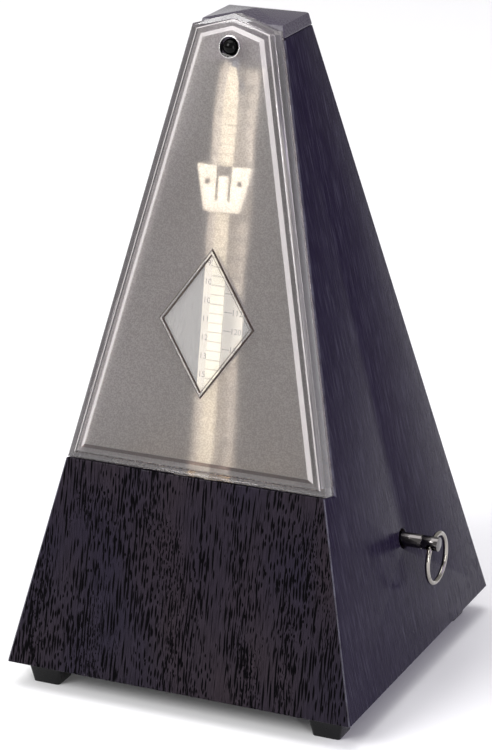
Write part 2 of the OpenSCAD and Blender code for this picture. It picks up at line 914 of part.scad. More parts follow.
module ratchet_wheel() {
    color([0.7, 0.7, 0.73]) in_frame()
        on_arbor(winding_at, ratchet_x)
            difference() {
                linear_extrude(height = ratchet_t)
                    polygon([
                        for (i = [0 : ratchet_teeth - 1], step = [0, 1])
                            let (
                                r = ratchet_r - step * ratchet_depth,
                                angle = (i + step * 0.12) * 360 / ratchet_teeth
                            )
                            r * [cos(angle), sin(angle)]
                    ]);
                translate([0, 0, -over])
                    cylinder(r = winding_r + fixed_gap, h = ratchet_t + 2 * over);
            }
}

module click() {
    nose = (ratchet_r + click_clear) * [cos(click_nose_angle), sin(click_nose_angle)] - click_at;
    across = [-nose[1], nose[0]] / norm(nose);
    color([0.7, 0.7, 0.73]) in_frame()
        on_arbor(winding_at + click_at, ratchet_x)
            difference() {
                union() {
                    cylinder(r = click_hub_r, h = ratchet_t);
                    linear_extrude(height = ratchet_t)
                        polygon([
                            across * click_hub_r * -0.9, nose,
                            nose - across * 1, across * click_hub_r * -1
                        ]);
                    linear_extrude(height = ratchet_t)
                        polygon([
                            across * click_hub_r * 0.9, nose,
                            nose - across * 1.2, across * click_hub_r * -0.9
                        ]);
                }
                translate([0, 0, -over])
                    cylinder(r = click_stud_r + running_gap, h = ratchet_t + 2 * over);
            }
}

module click_spring() {
    color([0.4, 0.43, 0.5]) in_frame() {
        on_arbor(winding_at + click_at, right_x)
            cylinder(r = click_stud_r, h = ratchet_x + ratchet_t + 0.4 - right_x);
        on_arbor(winding_at + click_at + spring_foot_at, right_x + plate_t)
            cylinder(r = spring_foot_r, h = ratchet_x + ratchet_t - right_x - plate_t);
        on_arbor(winding_at + click_at + spring_foot_at, ratchet_x + ratchet_t / 2 - spring_t)
            rotate([0, 0, spring_lean])
                translate([-spring_l, -spring_t / 2, 0])
                    cube([spring_l, spring_t, 2 * spring_t]);
    }
}

module third_arbor() {
    color([0.75, 0.75, 0.78]) in_frame()
        on_arbor(third_at, -left_x - over)
            cylinder(r = arbor_r, h = left_x + right_x + plate_t + 2 * over);
}

module third_pinion() {
    color([0.75, 0.75, 0.78]) in_frame()
        on_arbor(third_at, pinion_x)
            gear(pinion_teeth, great_module, great_heading + 180 + 180 / pinion_teeth, pinion_l,
                arbor_r + fixed_gap);
}

module third_wheel() {
    color([0.85, 0.72, 0.38]) in_frame()
        on_arbor(third_at, third_x)
            gear(third_teeth, third_module, third_heading, third_t, arbor_r + fixed_gap);
}

module escape_arbor() {
    color([0.75, 0.75, 0.78]) in_frame()
        on_arbor(escape_at, -left_x - over)
            cylinder(r = arbor_r, h = left_x + over + crown_tip_x - 1);
}

module escape_pinion() {
    color([0.75, 0.75, 0.78]) in_frame()
        on_arbor(escape_at, leaf_x)
            gear(leaf_teeth, third_module, third_heading + 180 + 180 / leaf_teeth, leaf_l,
                arbor_r + fixed_gap);
}

module escape_wheel() {
    gap_w = crown_gap_share * PI * crown_d / crown_teeth;
    color([0.85, 0.72, 0.38]) in_frame()
        on_arbor(escape_at, crown_tip_x - crown_l)
            difference() {
                cylinder(d = crown_d, h = crown_l);
                translate([0, 0, crown_wall])
                    cylinder(d = crown_d - 2 * crown_wall, h = crown_l);
                translate([0, 0, -over])
                    cylinder(r = arbor_r + fixed_gap, h = crown_l);
                for (i = [0 : crown_teeth - 1])
                    rotate([0, 0, i * 360 / crown_teeth])
                        translate([crown_d / 2 - crown_wall - crown_clear, 0, crown_l])
                            rotate([90, 0, 90])
                                linear_extrude(height = crown_wall + over)
                                    polygon([
                                        [-gap_w * 0.36, crown_clear], [-gap_w * 0.14, -crown_tooth],
                                        [gap_w * 0.3, -crown_tooth], [gap_w * 0.64, crown_clear]
                                    ]);
            }
}

module key_bush() {
    wall_out_x = half_at(key_h + bush_r);
    flange_x = half_at(key_h + bush_r) - wall_x - bush_flange;
    color([0.85, 0.72, 0.38]) in_frame()
        difference() {
            union() {
                on_arbor(winding_at, flange_x)
                    cylinder(r = bush_r, h = bush_flange);
                on_arbor(winding_at, flange_x)
                    cylinder(r = bush_spigot_r, h = wall_out_x - bush_sunk - flange_x);
            }
            on_arbor(winding_at, flange_x - over)
                cylinder(r = shank_d / 2 + running_gap, h = case_w / 4);
        }
}

module key_shank() {
    seam_x = half_at(key_h) + shank_out * 0.53;
    color([0.85, 0.85, 0.87]) in_frame()
        difference() {
            on_arbor(winding_at, key_inner_x)
                cylinder(d = shank_d, h = key_end_x - key_inner_x);
            on_arbor(winding_at, seam_x)
                difference() {
                    cylinder(d = shank_d + over, h = seam_w);
                    translate([0, 0, -over])
                        cylinder(d = shank_d - 2 * seam_depth, h = seam_w + 2 * over);
                }
            on_arbor(winding_at, key_inner_x - over)
                cylinder(r = arbor_end_r + fixed_gap, h = arbor_end_l + over);
            on_arbor(winding_at, ring_x)
                rotate([0, 0, key_stop])
                    rotate([0, 90, 0])
                        cylinder(r = wire_d / 2 + ring_hole_gap, h = 2 * shank_d, center = true);
        }
}

module key_ring() {
    color([0.85, 0.85, 0.87]) in_frame()
        on_arbor(winding_at + ring_r * [sin(key_stop), -cos(key_stop)], ring_x)
            rotate_extrude()
                translate([ring_r, 0])
                    circle(d = wire_d, $fn = 32);
}

case_shell();
roof_cap();
base_plate();
foot_front_left();
foot_front_right();
foot_back_left();
foot_back_right();
foot_screws();
front_door();
door_window();
latch_ring();
latch_stud();
rest_clip();
scale_plate();
pendulum_rod();
sliding_weight();
counterweight();
pendulum_arbor();
left_plate();
right_plate();
top_plate();
frame_pillars();
frame_screws();
front_cock();
back_cock();
escape_cock();
mainspring_barrel();
barrel_cover();
mainspring();
great_wheel();
winding_arbor();
ratchet_wheel();
click();
click_spring();
third_arbor();
third_pinion();
third_wheel();
escape_arbor();
escape_pinion();
escape_wheel();
key_bush();
key_shank();
key_ring();
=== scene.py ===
import json
import math

import bpy
from mathutils import Matrix, Vector


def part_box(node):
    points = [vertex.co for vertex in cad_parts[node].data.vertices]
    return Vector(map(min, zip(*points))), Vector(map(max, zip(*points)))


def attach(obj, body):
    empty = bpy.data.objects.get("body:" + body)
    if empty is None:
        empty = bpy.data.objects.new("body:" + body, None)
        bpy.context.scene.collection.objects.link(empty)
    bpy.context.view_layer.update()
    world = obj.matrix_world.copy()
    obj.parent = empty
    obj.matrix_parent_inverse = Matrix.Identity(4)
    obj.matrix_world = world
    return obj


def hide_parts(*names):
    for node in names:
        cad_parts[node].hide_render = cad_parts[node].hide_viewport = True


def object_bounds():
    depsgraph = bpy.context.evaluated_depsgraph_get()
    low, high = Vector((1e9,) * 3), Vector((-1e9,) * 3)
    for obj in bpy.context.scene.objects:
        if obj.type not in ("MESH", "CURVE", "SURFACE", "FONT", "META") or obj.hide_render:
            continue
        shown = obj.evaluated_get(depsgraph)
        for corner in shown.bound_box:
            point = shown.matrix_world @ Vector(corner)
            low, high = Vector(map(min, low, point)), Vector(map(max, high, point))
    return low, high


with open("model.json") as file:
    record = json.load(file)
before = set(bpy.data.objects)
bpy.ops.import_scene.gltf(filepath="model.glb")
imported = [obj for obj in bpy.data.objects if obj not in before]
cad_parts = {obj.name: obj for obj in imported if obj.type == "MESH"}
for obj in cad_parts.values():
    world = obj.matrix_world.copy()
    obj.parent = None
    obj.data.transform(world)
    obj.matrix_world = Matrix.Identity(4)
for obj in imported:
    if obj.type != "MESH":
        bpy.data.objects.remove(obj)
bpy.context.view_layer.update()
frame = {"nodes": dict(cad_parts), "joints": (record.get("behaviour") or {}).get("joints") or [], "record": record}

mm = 0.001
joints = {joint["name"]: joint for joint in frame["joints"]}
print("frame loaded:", len(frame["nodes"]), "pieces")


# places that the frame gives

roofRise = 2.3 * mm
caseLow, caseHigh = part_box("case_shell")
capLow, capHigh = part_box("roof_cap")
caseMid = (caseLow.x + caseHigh.x) / 2
caseHalf = (caseHigh.x - caseLow.x) / 2
capHalf = (capHigh.x - capLow.x) / 2
caseSlope = (caseHalf - capHalf) / (caseHigh.z - caseLow.z)
lean = math.atan(caseSlope)
eavesRise = capHigh.z - roofRise - caseLow.z      # eaves above the case's bottom edge


def halfAt(rise):
    return caseHalf - caseSlope * rise


# case frame: level, on the middle of the case's bottom edge
caseFrame = Matrix.Translation((caseMid, 0, caseLow.z))

# face frame: x across the leaning front, y up its slope, z outwards
faceFrame = Matrix((
    (1, 0, 0, caseMid),
    (0, math.sin(lean), -math.cos(lean), -caseHalf),
    (0, math.cos(lean), math.sin(lean), caseLow.z),
    (0, 0, 0, 1),
))

# rod frame: z up the pendulum's rod, y backwards through it, from the weight's middle
weightLow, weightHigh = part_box("sliding_weight")
weightMid = (weightLow + weightHigh) / 2
rodUp = Vector(joints["weight_slide"]["axis"]).normalized()
rodFrame = Matrix((
    (1, 0, 0, weightMid.x),
    (0, rodUp.z, rodUp.y, weightMid.y),
    (0, -rodUp.y, rodUp.z, weightMid.z),
    (0, 0, 0, 1),
))

# key frame: z out along the key's axis, x and y as the movement's plates have them
keyAt = Vector(joints["key_turn"]["pos_m"])
keyFrame = Matrix((
    (0, 0, 1, 0),
    (1, 0, 0, keyAt.y),
    (0, 1, 0, keyAt.z),
    (0, 0, 0, 1),
))


# modelling moves

def clearAll():
    if bpy.context.object and bpy.context.object.mode != "OBJECT":
        bpy.ops.object.mode_set(mode="OBJECT")
    bpy.ops.object.select_all(action="DESELECT")


def make(piece):
    clearAll()
    piece.select_set(True)
    bpy.context.view_layer.objects.active = piece


def settle():
    bpy.ops.object.transform_apply(location=True, rotation=True, scale=True)
    return bpy.context.object


def addBlock(name, low, high):
    clearAll()
    low, high = Vector(low), Vector(high)
    bpy.ops.mesh.primitive_cube_add(size=1, location=(low + high) / 2, scale=high - low)
    piece = settle()
    piece.name = name
    return piece


def addRound(name, radius, low, high, at=(0, 0), sides=64):
    clearAll()
    bpy.ops.mesh.primitive_cylinder_add(vertices=sides, radius=radius, depth=high - low,
                                        location=(at[0], at[1], (low + high) / 2))
    piece = settle()
    piece.name = name
    return piece


def pickFaces(piece, test):
    make(piece)
    bpy.ops.object.mode_set(mode="EDIT")
    bpy.ops.mesh.select_mode(type="FACE")
    bpy.ops.mesh.select_all(action="DESELECT")
    bpy.ops.object.mode_set(mode="OBJECT")
    for face in piece.data.polygons:
        face.select = bool(test(face.center, face.normal))
    bpy.ops.object.mode_set(mode="EDIT")


def pickEdges(piece, test):
    make(piece)
    bpy.ops.object.mode_set(mode="EDIT")
    bpy.ops.mesh.select_mode(type="EDGE")
    bpy.ops.mesh.select_all(action="DESELECT")
    bpy.ops.object.mode_set(mode="OBJECT")
    places = piece.data.vertices
    for edge in piece.data.edges:
        edge.select = bool(test(places[edge.vertices[0]].co, places[edge.vertices[1]].co))
    bpy.ops.object.mode_set(mode="EDIT")


def inset(width, rise=0.0):
    bpy.ops.mesh.inset(thickness=width, depth=rise)


def extrude(move):
    bpy.ops.mesh.extrude_region_move(TRANSFORM_OT_translate={"value": move})


def sliceOff(piece, point, outwards):
    make(piece)
    bpy.ops.object.mode_set(mode="EDIT")
    bpy.ops.mesh.select_all(action="SELECT")
    bpy.ops.mesh.bisect(plane_co=point, plane_no=outwards, use_fill=True, clear_outer=True)
    bpy.ops.object.mode_set(mode="OBJECT")


def scoreAcross(piece, point, direction):
    make(piece)
    bpy.ops.object.mode_set(mode="EDIT")
    bpy.ops.mesh.select_all(action="SELECT")
    bpy.ops.mesh.bisect(plane_co=point, plane_no=direction)
    bpy.ops.object.mode_set(mode="OBJECT")


def combine(piece, other, operation="DIFFERENCE"):
    make(piece)
    modifier = piece.modifiers.new("joinery", "BOOLEAN")
    modifier.operation = operation
    modifier.solver = "EXACT"
    modifier.object = other
    bpy.ops.object.modifier_apply(modifier=modifier.name)
    bpy.data.objects.remove(other)


def roundEdges(piece, width, steps=2, angle=28):
    make(piece)
    modifier = piece.modifiers.new("soft edges", "BEVEL")
    modifier.width = width
    modifier.segments = steps
    modifier.limit_method = "ANGLE"
    modifier.angle_limit = math.radians(angle)
    modifier.use_clamp_overlap = True
    modifier.harden_normals = False
    bpy.ops.object.modifier_apply(modifier=modifier.name)


def tidyMesh(piece):
    make(piece)
    bpy.ops.object.mode_set(mode="EDIT")
    bpy.ops.mesh.select_all(action="SELECT")
    bpy.ops.mesh.remove_doubles(threshold=0.002 * mm)
    bpy.ops.mesh.normals_make_consistent(inside=False)
    bpy.ops.object.mode_set(mode="OBJECT")


def place(piece, matrix):
    make(piece)
    piece.matrix_world = matrix @ piece.matrix_world
    settle()


def finishPiece(piece, matrix, body, nodes, finishes, smoothAngle=35):
    place(piece, matrix)
    piece.data.materials.clear()
    for finish in finishes:
        piece.data.materials.append(finish)
    make(piece)
    bpy.ops.object.shade_smooth_by_angle(angle=math.radians(smoothAngle))
    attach(piece, body)
    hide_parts(*nodes)
    return piece


# material moves

def newFinish(name, colour, roughness, metallic=0.0, ior=1.45):
    finish = bpy.data.materials.new(name)
    finish.use_nodes = True
    nodes, links = finish.node_tree.nodes, finish.node_tree.links
    shader = nodes["Principled BSDF"]
    shader.inputs["Base Color"].default_value = (*colour, 1)
    shader.inputs["Roughness"].default_value = roughness
    shader.inputs["Metallic"].default_value = metallic
    shader.inputs["IOR"].default_value = ior
    return finish, nodes, links, shader


def objectPoints(nodes, links, stretch=(1, 1, 1)):
    source = nodes.new("ShaderNodeTexCoord")
    mapping = nodes.new("ShaderNodeMapping")
    mapping.inputs["Scale"].default_value = stretch
    links.new(source.outputs["Object"], mapping.inputs["Vector"])
    return mapping.outputs["Vector"]


def mapPoints(nodes, links, mapName, stretch, shift=(0, 0, 0)):
    source = nodes.new("ShaderNodeUVMap")
    source.uv_map = mapName
    mapping = nodes.new("ShaderNodeMapping")
    mapping.inputs["Scale"].default_value = stretch
    mapping.inputs["Location"].default_value = shift
    links.new(source.outputs["UV"], mapping.inputs["Vector"])
    return mapping.outputs["Vector"]


def noise(nodes, links, points, scale, detail=2.0, roughness=0.5):
    texture = nodes.new("ShaderNodeTexNoise")
    texture.inputs["Scale"].default_value = scale
    texture.inputs["Detail"].default_value = detail
    texture.inputs["Roughness"].default_value = roughness
    links.new(points, texture.inputs["Vector"])
    return texture.outputs["Fac"]


def remap(nodes, links, value, fromLow, fromHigh, toLow, toHigh):
    change = nodes.new("ShaderNodeMapRange")
    change.inputs["From Min"].default_value = fromLow
    change.inputs["From Max"].default_value = fromHigh
    change.inputs["To Min"].default_value = toLow
    change.inputs["To Max"].default_value = toHigh
    links.new(value, change.inputs["Value"])
    return change.outputs["Result"]


def arithmetic(nodes, links, operation, first, second):
    step = nodes.new("ShaderNodeMath")
    step.operation = operation
    for socket, value in zip(step.inputs, (first, second)):
        if isinstance(value, (int, float)):
            socket.default_value = value
        else:
            links.new(value, socket)
    return step.outputs["Value"]


def twoColours(nodes, links, amount, first, second):
    blend = nodes.new("ShaderNodeMix")
    blend.data_type = "RGBA"
    blend.inputs["A"].default_value = (*first, 1) if isinstance(first, tuple) else (0, 0, 0, 1)
    blend.inputs["B"].default_value = (*second, 1) if isinstance(second, tuple) else (0, 0, 0, 1)
    if not isinstance(first, tuple):
        links.new(first, blend.inputs["A"])
    if not isinstance(second, tuple):
        links.new(second, blend.inputs["B"])
    links.new(amount, blend.inputs["Factor"])
    return blend.outputs["Result"]


def addBump(nodes, links, shader, height, strength, distance):
    bump = nodes.new("ShaderNodeBump")
    bump.inputs["Strength"].default_value = strength
    bump.inputs["Distance"].default_value = distance
    links.new(height, bump.inputs["Height"])
    links.new(bump.outputs["Normal"], shader.inputs["Normal"])


# finishes

veneer = {
    "clear": (0.026, 0.0195, 0.025),
    "tinted": (0.018, 0.015, 0.025),
    "pore": (0.0012, 0.001, 0.0015),
    "roughness": 0.2,
    "ior": 1.12,
    # cell width and length, and dash thickness, in mm; the last number is the share of busy patches
    "dashes": [(1.25, 12.0, 0.66, 0.66), (1.15, 4.6, 0.62, 0.60), (0.9, 2.0, 0.40, 0.22)],
    "waver": 0.25,
    "quietShadedSides": 0.16,       # strength of the pores on the left and right walls, and the share of the front's colour there; the rest is their painted shade
    # painted shade of the left and right walls: a darker, bluer ground with lighter streaks
    "sideShadeTone": (0.010, 0.006, 0.024),
    "sideShadeStreak": (0.040, 0.035, 0.062),
}


def dashLayer(nodes, links, width, length, thick, busy, turn):
    drift = noise(nodes, links, mapPoints(nodes, links, "grain", (60, 30, 1), (turn, 0, 0)), 1.0, 1.0)
    sway = nodes.new("ShaderNodeCombineXYZ")
    links.new(arithmetic(nodes, links, "MULTIPLY", drift, veneer["waver"] * 10 / width), sway.inputs["X"])
    moved = nodes.new("ShaderNodeVectorMath")
    moved.operation = "ADD"
    stretched = mapPoints(nodes, links, "grain", (1000 / width, 1000 / length, 1),
                          (turn * 13.7, turn * 5.1, 0))
    links.new(stretched, moved.inputs[0])
    links.new(sway.outputs["Vector"], moved.inputs[1])
    spots = nodes.new("ShaderNodeTexVoronoi")
    spots.voronoi_dimensions = "2D"
    spots.inputs["Scale"].default_value = 1.0
    spots.inputs["Randomness"].default_value = 0.8
    links.new(moved.outputs["Vector"], spots.inputs["Vector"])
    offset = nodes.new("ShaderNodeVectorMath")
    offset.operation = "SUBTRACT"
    links.new(moved.outputs["Vector"], offset.inputs[0])
    links.new(spots.outputs["Position"], offset.inputs[1])
    parts = nodes.new("ShaderNodeSeparateXYZ")
    links.new(offset.outputs["Vector"], parts.inputs["Vector"])
    across = arithmetic(nodes, links, "ABSOLUTE", parts.outputs["X"], 0)
    chance = nodes.new("ShaderNodeSeparateColor")
    links.new(spots.outputs["Color"], chance.inputs["Color"])
    halfLength = remap(nodes, links, chance.outputs["Red"], 0, 1, 0.12, 0.62)
    along = arithmetic(nodes, links, "DIVIDE", parts.outputs["Y"], halfLength)
    taper = arithmetic(nodes, links, "SUBTRACT", 1.0, arithmetic(nodes, links, "MULTIPLY", along, along))
    patches = noise(nodes, links, mapPoints(nodes, links, "grain", (80, 22, 1), (turn * 3.3, turn * 2.1, 0)),
                    1.0, 3.0, 0.6)
    start = 0.5 + 0.22 * (0.5 - busy)
    fullness = remap(nodes, links, patches, start - 0.06, start + 0.06, 0.0, thick / 2 / width)
    limit = arithmetic(nodes, links, "MULTIPLY", taper, fullness)
    inside = arithmetic(nodes, links, "SUBTRACT", limit, across)
    return remap(nodes, links, inside, -0.05, 0.04, 0.0, 1.0)


def makeVeneer():
    finish, nodes, links, shader = newFinish("stainedVeneer", veneer["clear"], veneer["roughness"],
                                             ior=veneer["ior"])
    layers = [dashLayer(nodes, links, *sizes, turn + 1) for turn, sizes in enumerate(veneer["dashes"])]
    pores = arithmetic(nodes, links, "MAXIMUM", layers[0], layers[1])
    pores = arithmetic(nodes, links, "MAXIMUM", pores, layers[2])
    strength = nodes.new("ShaderNodeAttribute")
    strength.attribute_name = "poreStrengthAndSideShade"
    pores = arithmetic(nodes, links, "MULTIPLY", pores, strength.outputs["Fac"])
    cloud = noise(nodes, links, mapPoints(nodes, links, "grain", (30, 14, 1)), 1.0, 2.0)
    ground = twoColours(nodes, links, remap(nodes, links, cloud, 0.35, 0.65, 0, 1),
                        veneer["clear"], veneer["tinted"])
    fine = noise(nodes, links, mapPoints(nodes, links, "grain", (2600, 160, 1)), 1.0, 2.0)
    ground = twoColours(nodes, links, remap(nodes, links, fine, 0.4, 0.75, 0, 0.5), ground, veneer["pore"])
    # the left and right walls take mostly the painted shade ground
    streaks = noise(nodes, links, mapPoints(nodes, links, "grain", (1500, 70, 1)), 1.0, 2.0, 0.7)
    shadedSideGround = twoColours(nodes, links, remap(nodes, links, streaks, 0.48, 0.68, 0, 1),
                            veneer["sideShadeTone"], veneer["sideShadeStreak"])
    ground = twoColours(nodes, links, strength.outputs["Fac"], shadedSideGround, ground)
    links.new(twoColours(nodes, links, pores, ground, veneer["pore"]), shader.inputs["Base Color"])
    rough = arithmetic(nodes, links, "ADD", remap(nodes, links, fine, 0.3, 0.7, -0.05, 0.05),
                       remap(nodes, links, pores, 0, 1, veneer["roughness"], 0.95))
    links.new(rough, shader.inputs["Roughness"])
    height = arithmetic(nodes, links, "SUBTRACT", arithmetic(nodes, links, "MULTIPLY", fine, 0.12), pores)
    addBump(nodes, links, shader, height, 0.5, 0.12 * mm)
    return finish


def makeMoulding(name, colour, roughness, ior=1.45, speck=1800, depth=0.02):
    finish, nodes, links, shader = newFinish(name, colour, roughness, ior=ior)
    points = objectPoints(nodes, links)
    grain = noise(nodes, links, points, speck, 3.0)
    cloud = noise(nodes, links, points, 40, 2.0)
    lighter = tuple(min(1.0, 1.35 * c + 0.002) for c in colour)
    links.new(twoColours(nodes, links, remap(nodes, links, cloud, 0.3, 0.7, 0, 1), colour, lighter),
              shader.inputs["Base Color"])
    links.new(remap(nodes, links, grain, 0.3, 0.7, roughness - 0.05, roughness + 0.08),
              shader.inputs["Roughness"])
    addBump(nodes, links, shader, grain, 0.25, depth * mm)
    return finish


def makeMetal(name, colour, roughness, stretch=(300, 300, 300), scratch=0.06):
    finish, nodes, links, shader = newFinish(name, colour, roughness, metallic=1.0)
    points = objectPoints(nodes, links, stretch)
    brush = noise(nodes, links, points, 6.0, 4.0, 0.6)
    stain = noise(nodes, links, objectPoints(nodes, links), 70, 3.0)
    darker = tuple(0.72 * c for c in colour)
    links.new(twoColours(nodes, links, remap(nodes, links, stain, 0.35, 0.75, 0, 1), colour, darker),
              shader.inputs["Base Color"])
    links.new(remap(nodes, links, brush, 0.3, 0.7, max(0.02, roughness - scratch), roughness + scratch),
              shader.inputs["Roughness"])
    addBump(nodes, links, shader, brush, 0.12, 0.01 * mm)
    return finish


frosted = {
    "colour": (1.0, 0.955, 0.925),
    "shade": (0.66, 0.61, 0.59),
    "haze": 0.912,             # share of light that passes through
    "roughness": 0.42,
    "ior": 1.25,
    "lampShare": 0.9,
}


def lampsPass(finish, share):
    # light from the lamps and the sky goes straight through to what is behind
    nodes, links = finish.node_tree.nodes, finish.node_tree.links
    shader = nodes["Principled BSDF"]
    path = nodes.new("ShaderNodeLightPath")
    clear = nodes.new("ShaderNodeBsdfTransparent")
    clear.inputs["Color"].default_value = (share, share, share, 1)
    blend = nodes.new("ShaderNodeMixShader")
    links.new(path.outputs["Is Shadow Ray"], blend.inputs["Fac"])
    links.new(shader.outputs["BSDF"], blend.inputs[1])
    links.new(clear.outputs["BSDF"], blend.inputs[2])
    links.new(blend.outputs["Shader"], nodes["Material Output"].inputs["Surface"])


def makeFrosted():
    finish, nodes, links, shader = newFinish("frostedPanel", frosted["colour"], frosted["roughness"],
                                             ior=frosted["ior"])
    shader.inputs["Transmission Weight"].default_value = frosted["haze"]
    points = objectPoints(nodes, links)
    speck = noise(nodes, links, points, 2100, 1.0, 0.5)
    cloud = noise(nodes, links, points, 18, 2.0)
    mixed = arithmetic(nodes, links, "ADD", remap(nodes, links, speck, 0.38, 0.62, -0.15, 0.9),
                       remap(nodes, links, cloud, 0.3, 0.7, -0.2, 0.2))
    links.new(twoColours(nodes, links, mixed, frosted["shade"], frosted["colour"]),
              shader.inputs["Base Color"])
    addBump(nodes, links, shader, speck, 0.8, 0.05 * mm)
    lampsPass(finish, frosted["lampShare"])
    return finish


def makeClear(name, colour, roughness, ior, mist, share):
    finish, nodes, links, shader = newFinish(name, colour, roughness, ior=ior)
    shader.inputs["Transmission Weight"].default_value = 1.0 - mist
    points = objectPoints(nodes, links)
    smear = noise(nodes, links, points, 160, 3.0)
    links.new(remap(nodes, links, smear, 0.35, 0.75, roughness, roughness + 0.03),
              shader.inputs["Roughness"])
    addBump(nodes, links, shader, smear, 0.03, 0.01 * mm)
    lampsPass(finish, share)
    return finish


def makePaint(name, colour, second, roughness):
    finish, nodes, links, shader = newFinish(name, colour, roughness)
    points = objectPoints(nodes, links)
    mottle = noise(nodes, links, points, 260, 3.0)
    grain = noise(nodes, links, points, 2400, 2.0)
    links.new(twoColours(nodes, links, remap(nodes, links, mottle, 0.35, 0.7, 0, 1), colour, second),
              shader.inputs["Base Color"])
    links.new(remap(nodes, links, grain, 0.3, 0.7, roughness - 0.06, roughness + 0.08),
              shader.inputs["Roughness"])
    addBump(nodes, links, shader, grain, 0.2, 0.012 * mm)
    return finish


stainedVeneer = makeVeneer()
# painted highlight along the case's rounded outside corners, broken by noise
paintedEdgeHighlight = makePaint("paintedEdgeHighlight", (0.018, 0.015, 0.026), (0.065, 0.062, 0.09), 0.3)
capMoulding = makeMoulding("capMoulding", (0.040, 0.034, 0.050), 0.26, ior=1.42)
baseMoulding = makeMoulding("baseMoulding", (0.010, 0.010, 0.011), 0.6)
footMoulding = makeMoulding("footMoulding", (0.0025, 0.0025, 0.003), 0.22, ior=1.3, speck=900)
blackGloss = makeMoulding("blackGloss", (0.001, 0.001, 0.001), 0.06, ior=1.2, speck=300, depth=0.001)
frostedPanel = makeFrosted()
clearRim = makeClear("clearRim", (0.47, 0.447, 0.452), 0.015, 1.49, 0.10, 0.85)
# lighter, mistier copy of the rim for the flange's bevels: painted highlight; shadedBevel is a darker copy for the
# downward bevels: painted shade
bevelHighlight = makeClear("bevelHighlight", (0.96, 0.91, 0.90), 0.015, 1.49, 0.42, 0.9)
shadedBevel = makeClear("shadedBevel", (0.13, 0.085, 0.082), 0.05, 1.49, 0.06, 0.7)
clearPane = makeClear("clearPane", (0.98, 0.96, 0.94), 0.01, 1.47, 0.16, 0.95)
creamLacquer = makePaint("creamLacquer", (0.64, 0.60, 0.46), (0.58, 0.53, 0.40), 0.45)
# darker cream: painted shade in the rod's notches
creamNotchShade = makePaint("creamNotchShade", (0.40, 0.37, 0.28), (0.36, 0.33, 0.25), 0.6)
creamPrint = makePaint("creamPrint", (0.50, 0.46, 0.38), (0.45, 0.41, 0.34), 0.5)
ivoryLacquer = makePaint("ivoryLacquer", (0.82, 0.80, 0.68), (0.77, 0.74, 0.61), 0.38)
# dark lacquer: painted shade in the weight's slits, notch and dimples
shadedLacquer = makePaint("shadedLacquer", (0.10, 0.085, 0.065), (0.07, 0.06, 0.045), 0.6)
# painted shade for the dark lines along the window frame's bevels
paneEdgeShade = makePaint("paneEdgeShade", (0.035, 0.022, 0.018), (0.06, 0.04, 0.034), 0.3)
printInk = makePaint("printInk", (0.015, 0.013, 0.013), (0.03, 0.027, 0.026), 0.6)
# dark nickel: painted dark reflection of the surroundings on the key's shank
nickelDarkReflection = makeMetal("nickelDarkReflection", (0.15, 0.14, 0.14), 0.06, scratch=0.02)
brightNickel = makeMetal("brightNickel", (0.85, 0.83, 0.82), 0.05, scratch=0.02)
# darkened, warm-tinted nickel: painted reflections on the key's ring
ringNickelReflection = makeMetal("ringNickelReflection", (0.40, 0.375, 0.34), 0.05, scratch=0.02)
turnedSteel = makeMetal("turnedSteel", (0.56, 0.56, 0.58), 0.3)
screwSteel = makeMetal("screwSteel", (0.62, 0.62, 0.64), 0.26)
springSteel = makeMetal("springSteel", (0.20, 0.23, 0.31), 0.32)
stampedBrass = makeMetal("stampedBrass", (0.80, 0.58, 0.24), 0.28, (200, 200, 1400))
print("finishes ready")


# case

caseSizes = {
    "wall": 3.0 * mm,
    "corner": 0.55 * mm,      # softness of the corners
    "doorGap": 0.2 * mm,
    "keyHole": 3.22 * mm,
    "tabWidth": 4.3 * mm,
    "tabAt": 5.2 * mm,
    "tabDrop": 3.0 * mm,
    "tabFace": 0.9 * mm,      # depth of the tabs behind the front
    "tabThick": 1.2 * mm,
    "slotGap": 0.25 * mm,
}
doorSizes = {
    "depth": 7.7 * mm,
    "skirt": 2.2 * mm,
    "panel": 2.5 * mm,
    "drop": 1.2 * mm,         # panel's front above the flange
    "lip": 1.7 * mm,          # outer strip of the flange
    "ledge": 0.35 * mm,       # step between the flange's two strips
    "ledgeRise": 0.3 * mm,
    "strip": 1.65 * mm,       # inner strip of the flange
    "bevel": 1.3 * mm,
    "edge": 0.26 * mm,        # softness of its edges
}
doorBottom = (joints["door_tilt"]["pos_m"][2] - caseLow.z) / math.cos(lean)
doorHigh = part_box("front_door")[1]
doorPeak = (doorHigh.z - caseLow.z + doorSizes["drop"] * math.sin(lean)) / math.cos(lean)
doorEaves = eavesRise / math.cos(lean)


def faceHalf(up):
    return caseHalf - up * math.sin(lean)


def grainMap(piece):
    # across each wall in metres, and up its slope, with each wall on a stretch of its own
    layer = piece.data.uv_layers.new(name="grain")
    for face in piece.data.polygons:
        normal = face.normal
        alongX = abs(normal.y) > abs(normal.x)
        side = 0 if alongX else 1
        back = 2 if (normal.y if alongX else normal.x) > 0 else 0
        for corner in face.loop_indices:
            spot = piece.data.vertices[piece.data.loops[corner].vertex_index].co
            across = spot.x if alongX else spot.y
            layer.data[corner].uv = (across + 0.4 * (side + back), spot.z / math.cos(lean))
    # the left and right walls get weaker pores and mostly the painted shade colour
    strength = piece.data.attributes.new("poreStrengthAndSideShade", "FLOAT", "FACE")
    for face in piece.data.polygons:
        sideWall = abs(face.normal.x) > abs(face.normal.y)
        strength.data[face.index].value = veneer["quietShadedSides"] if sideWall else 1.0


def doorSpace(grow=0.0):
    depth = doorSizes["depth"] + caseSizes["doorGap"] + grow
    return addBlock("doorSpace", (-2 * caseHalf, doorBottom - caseSizes["doorGap"], -depth),
                    (2 * caseHalf, doorBottom + 2 * caseHalf + eavesRise, 10 * mm))


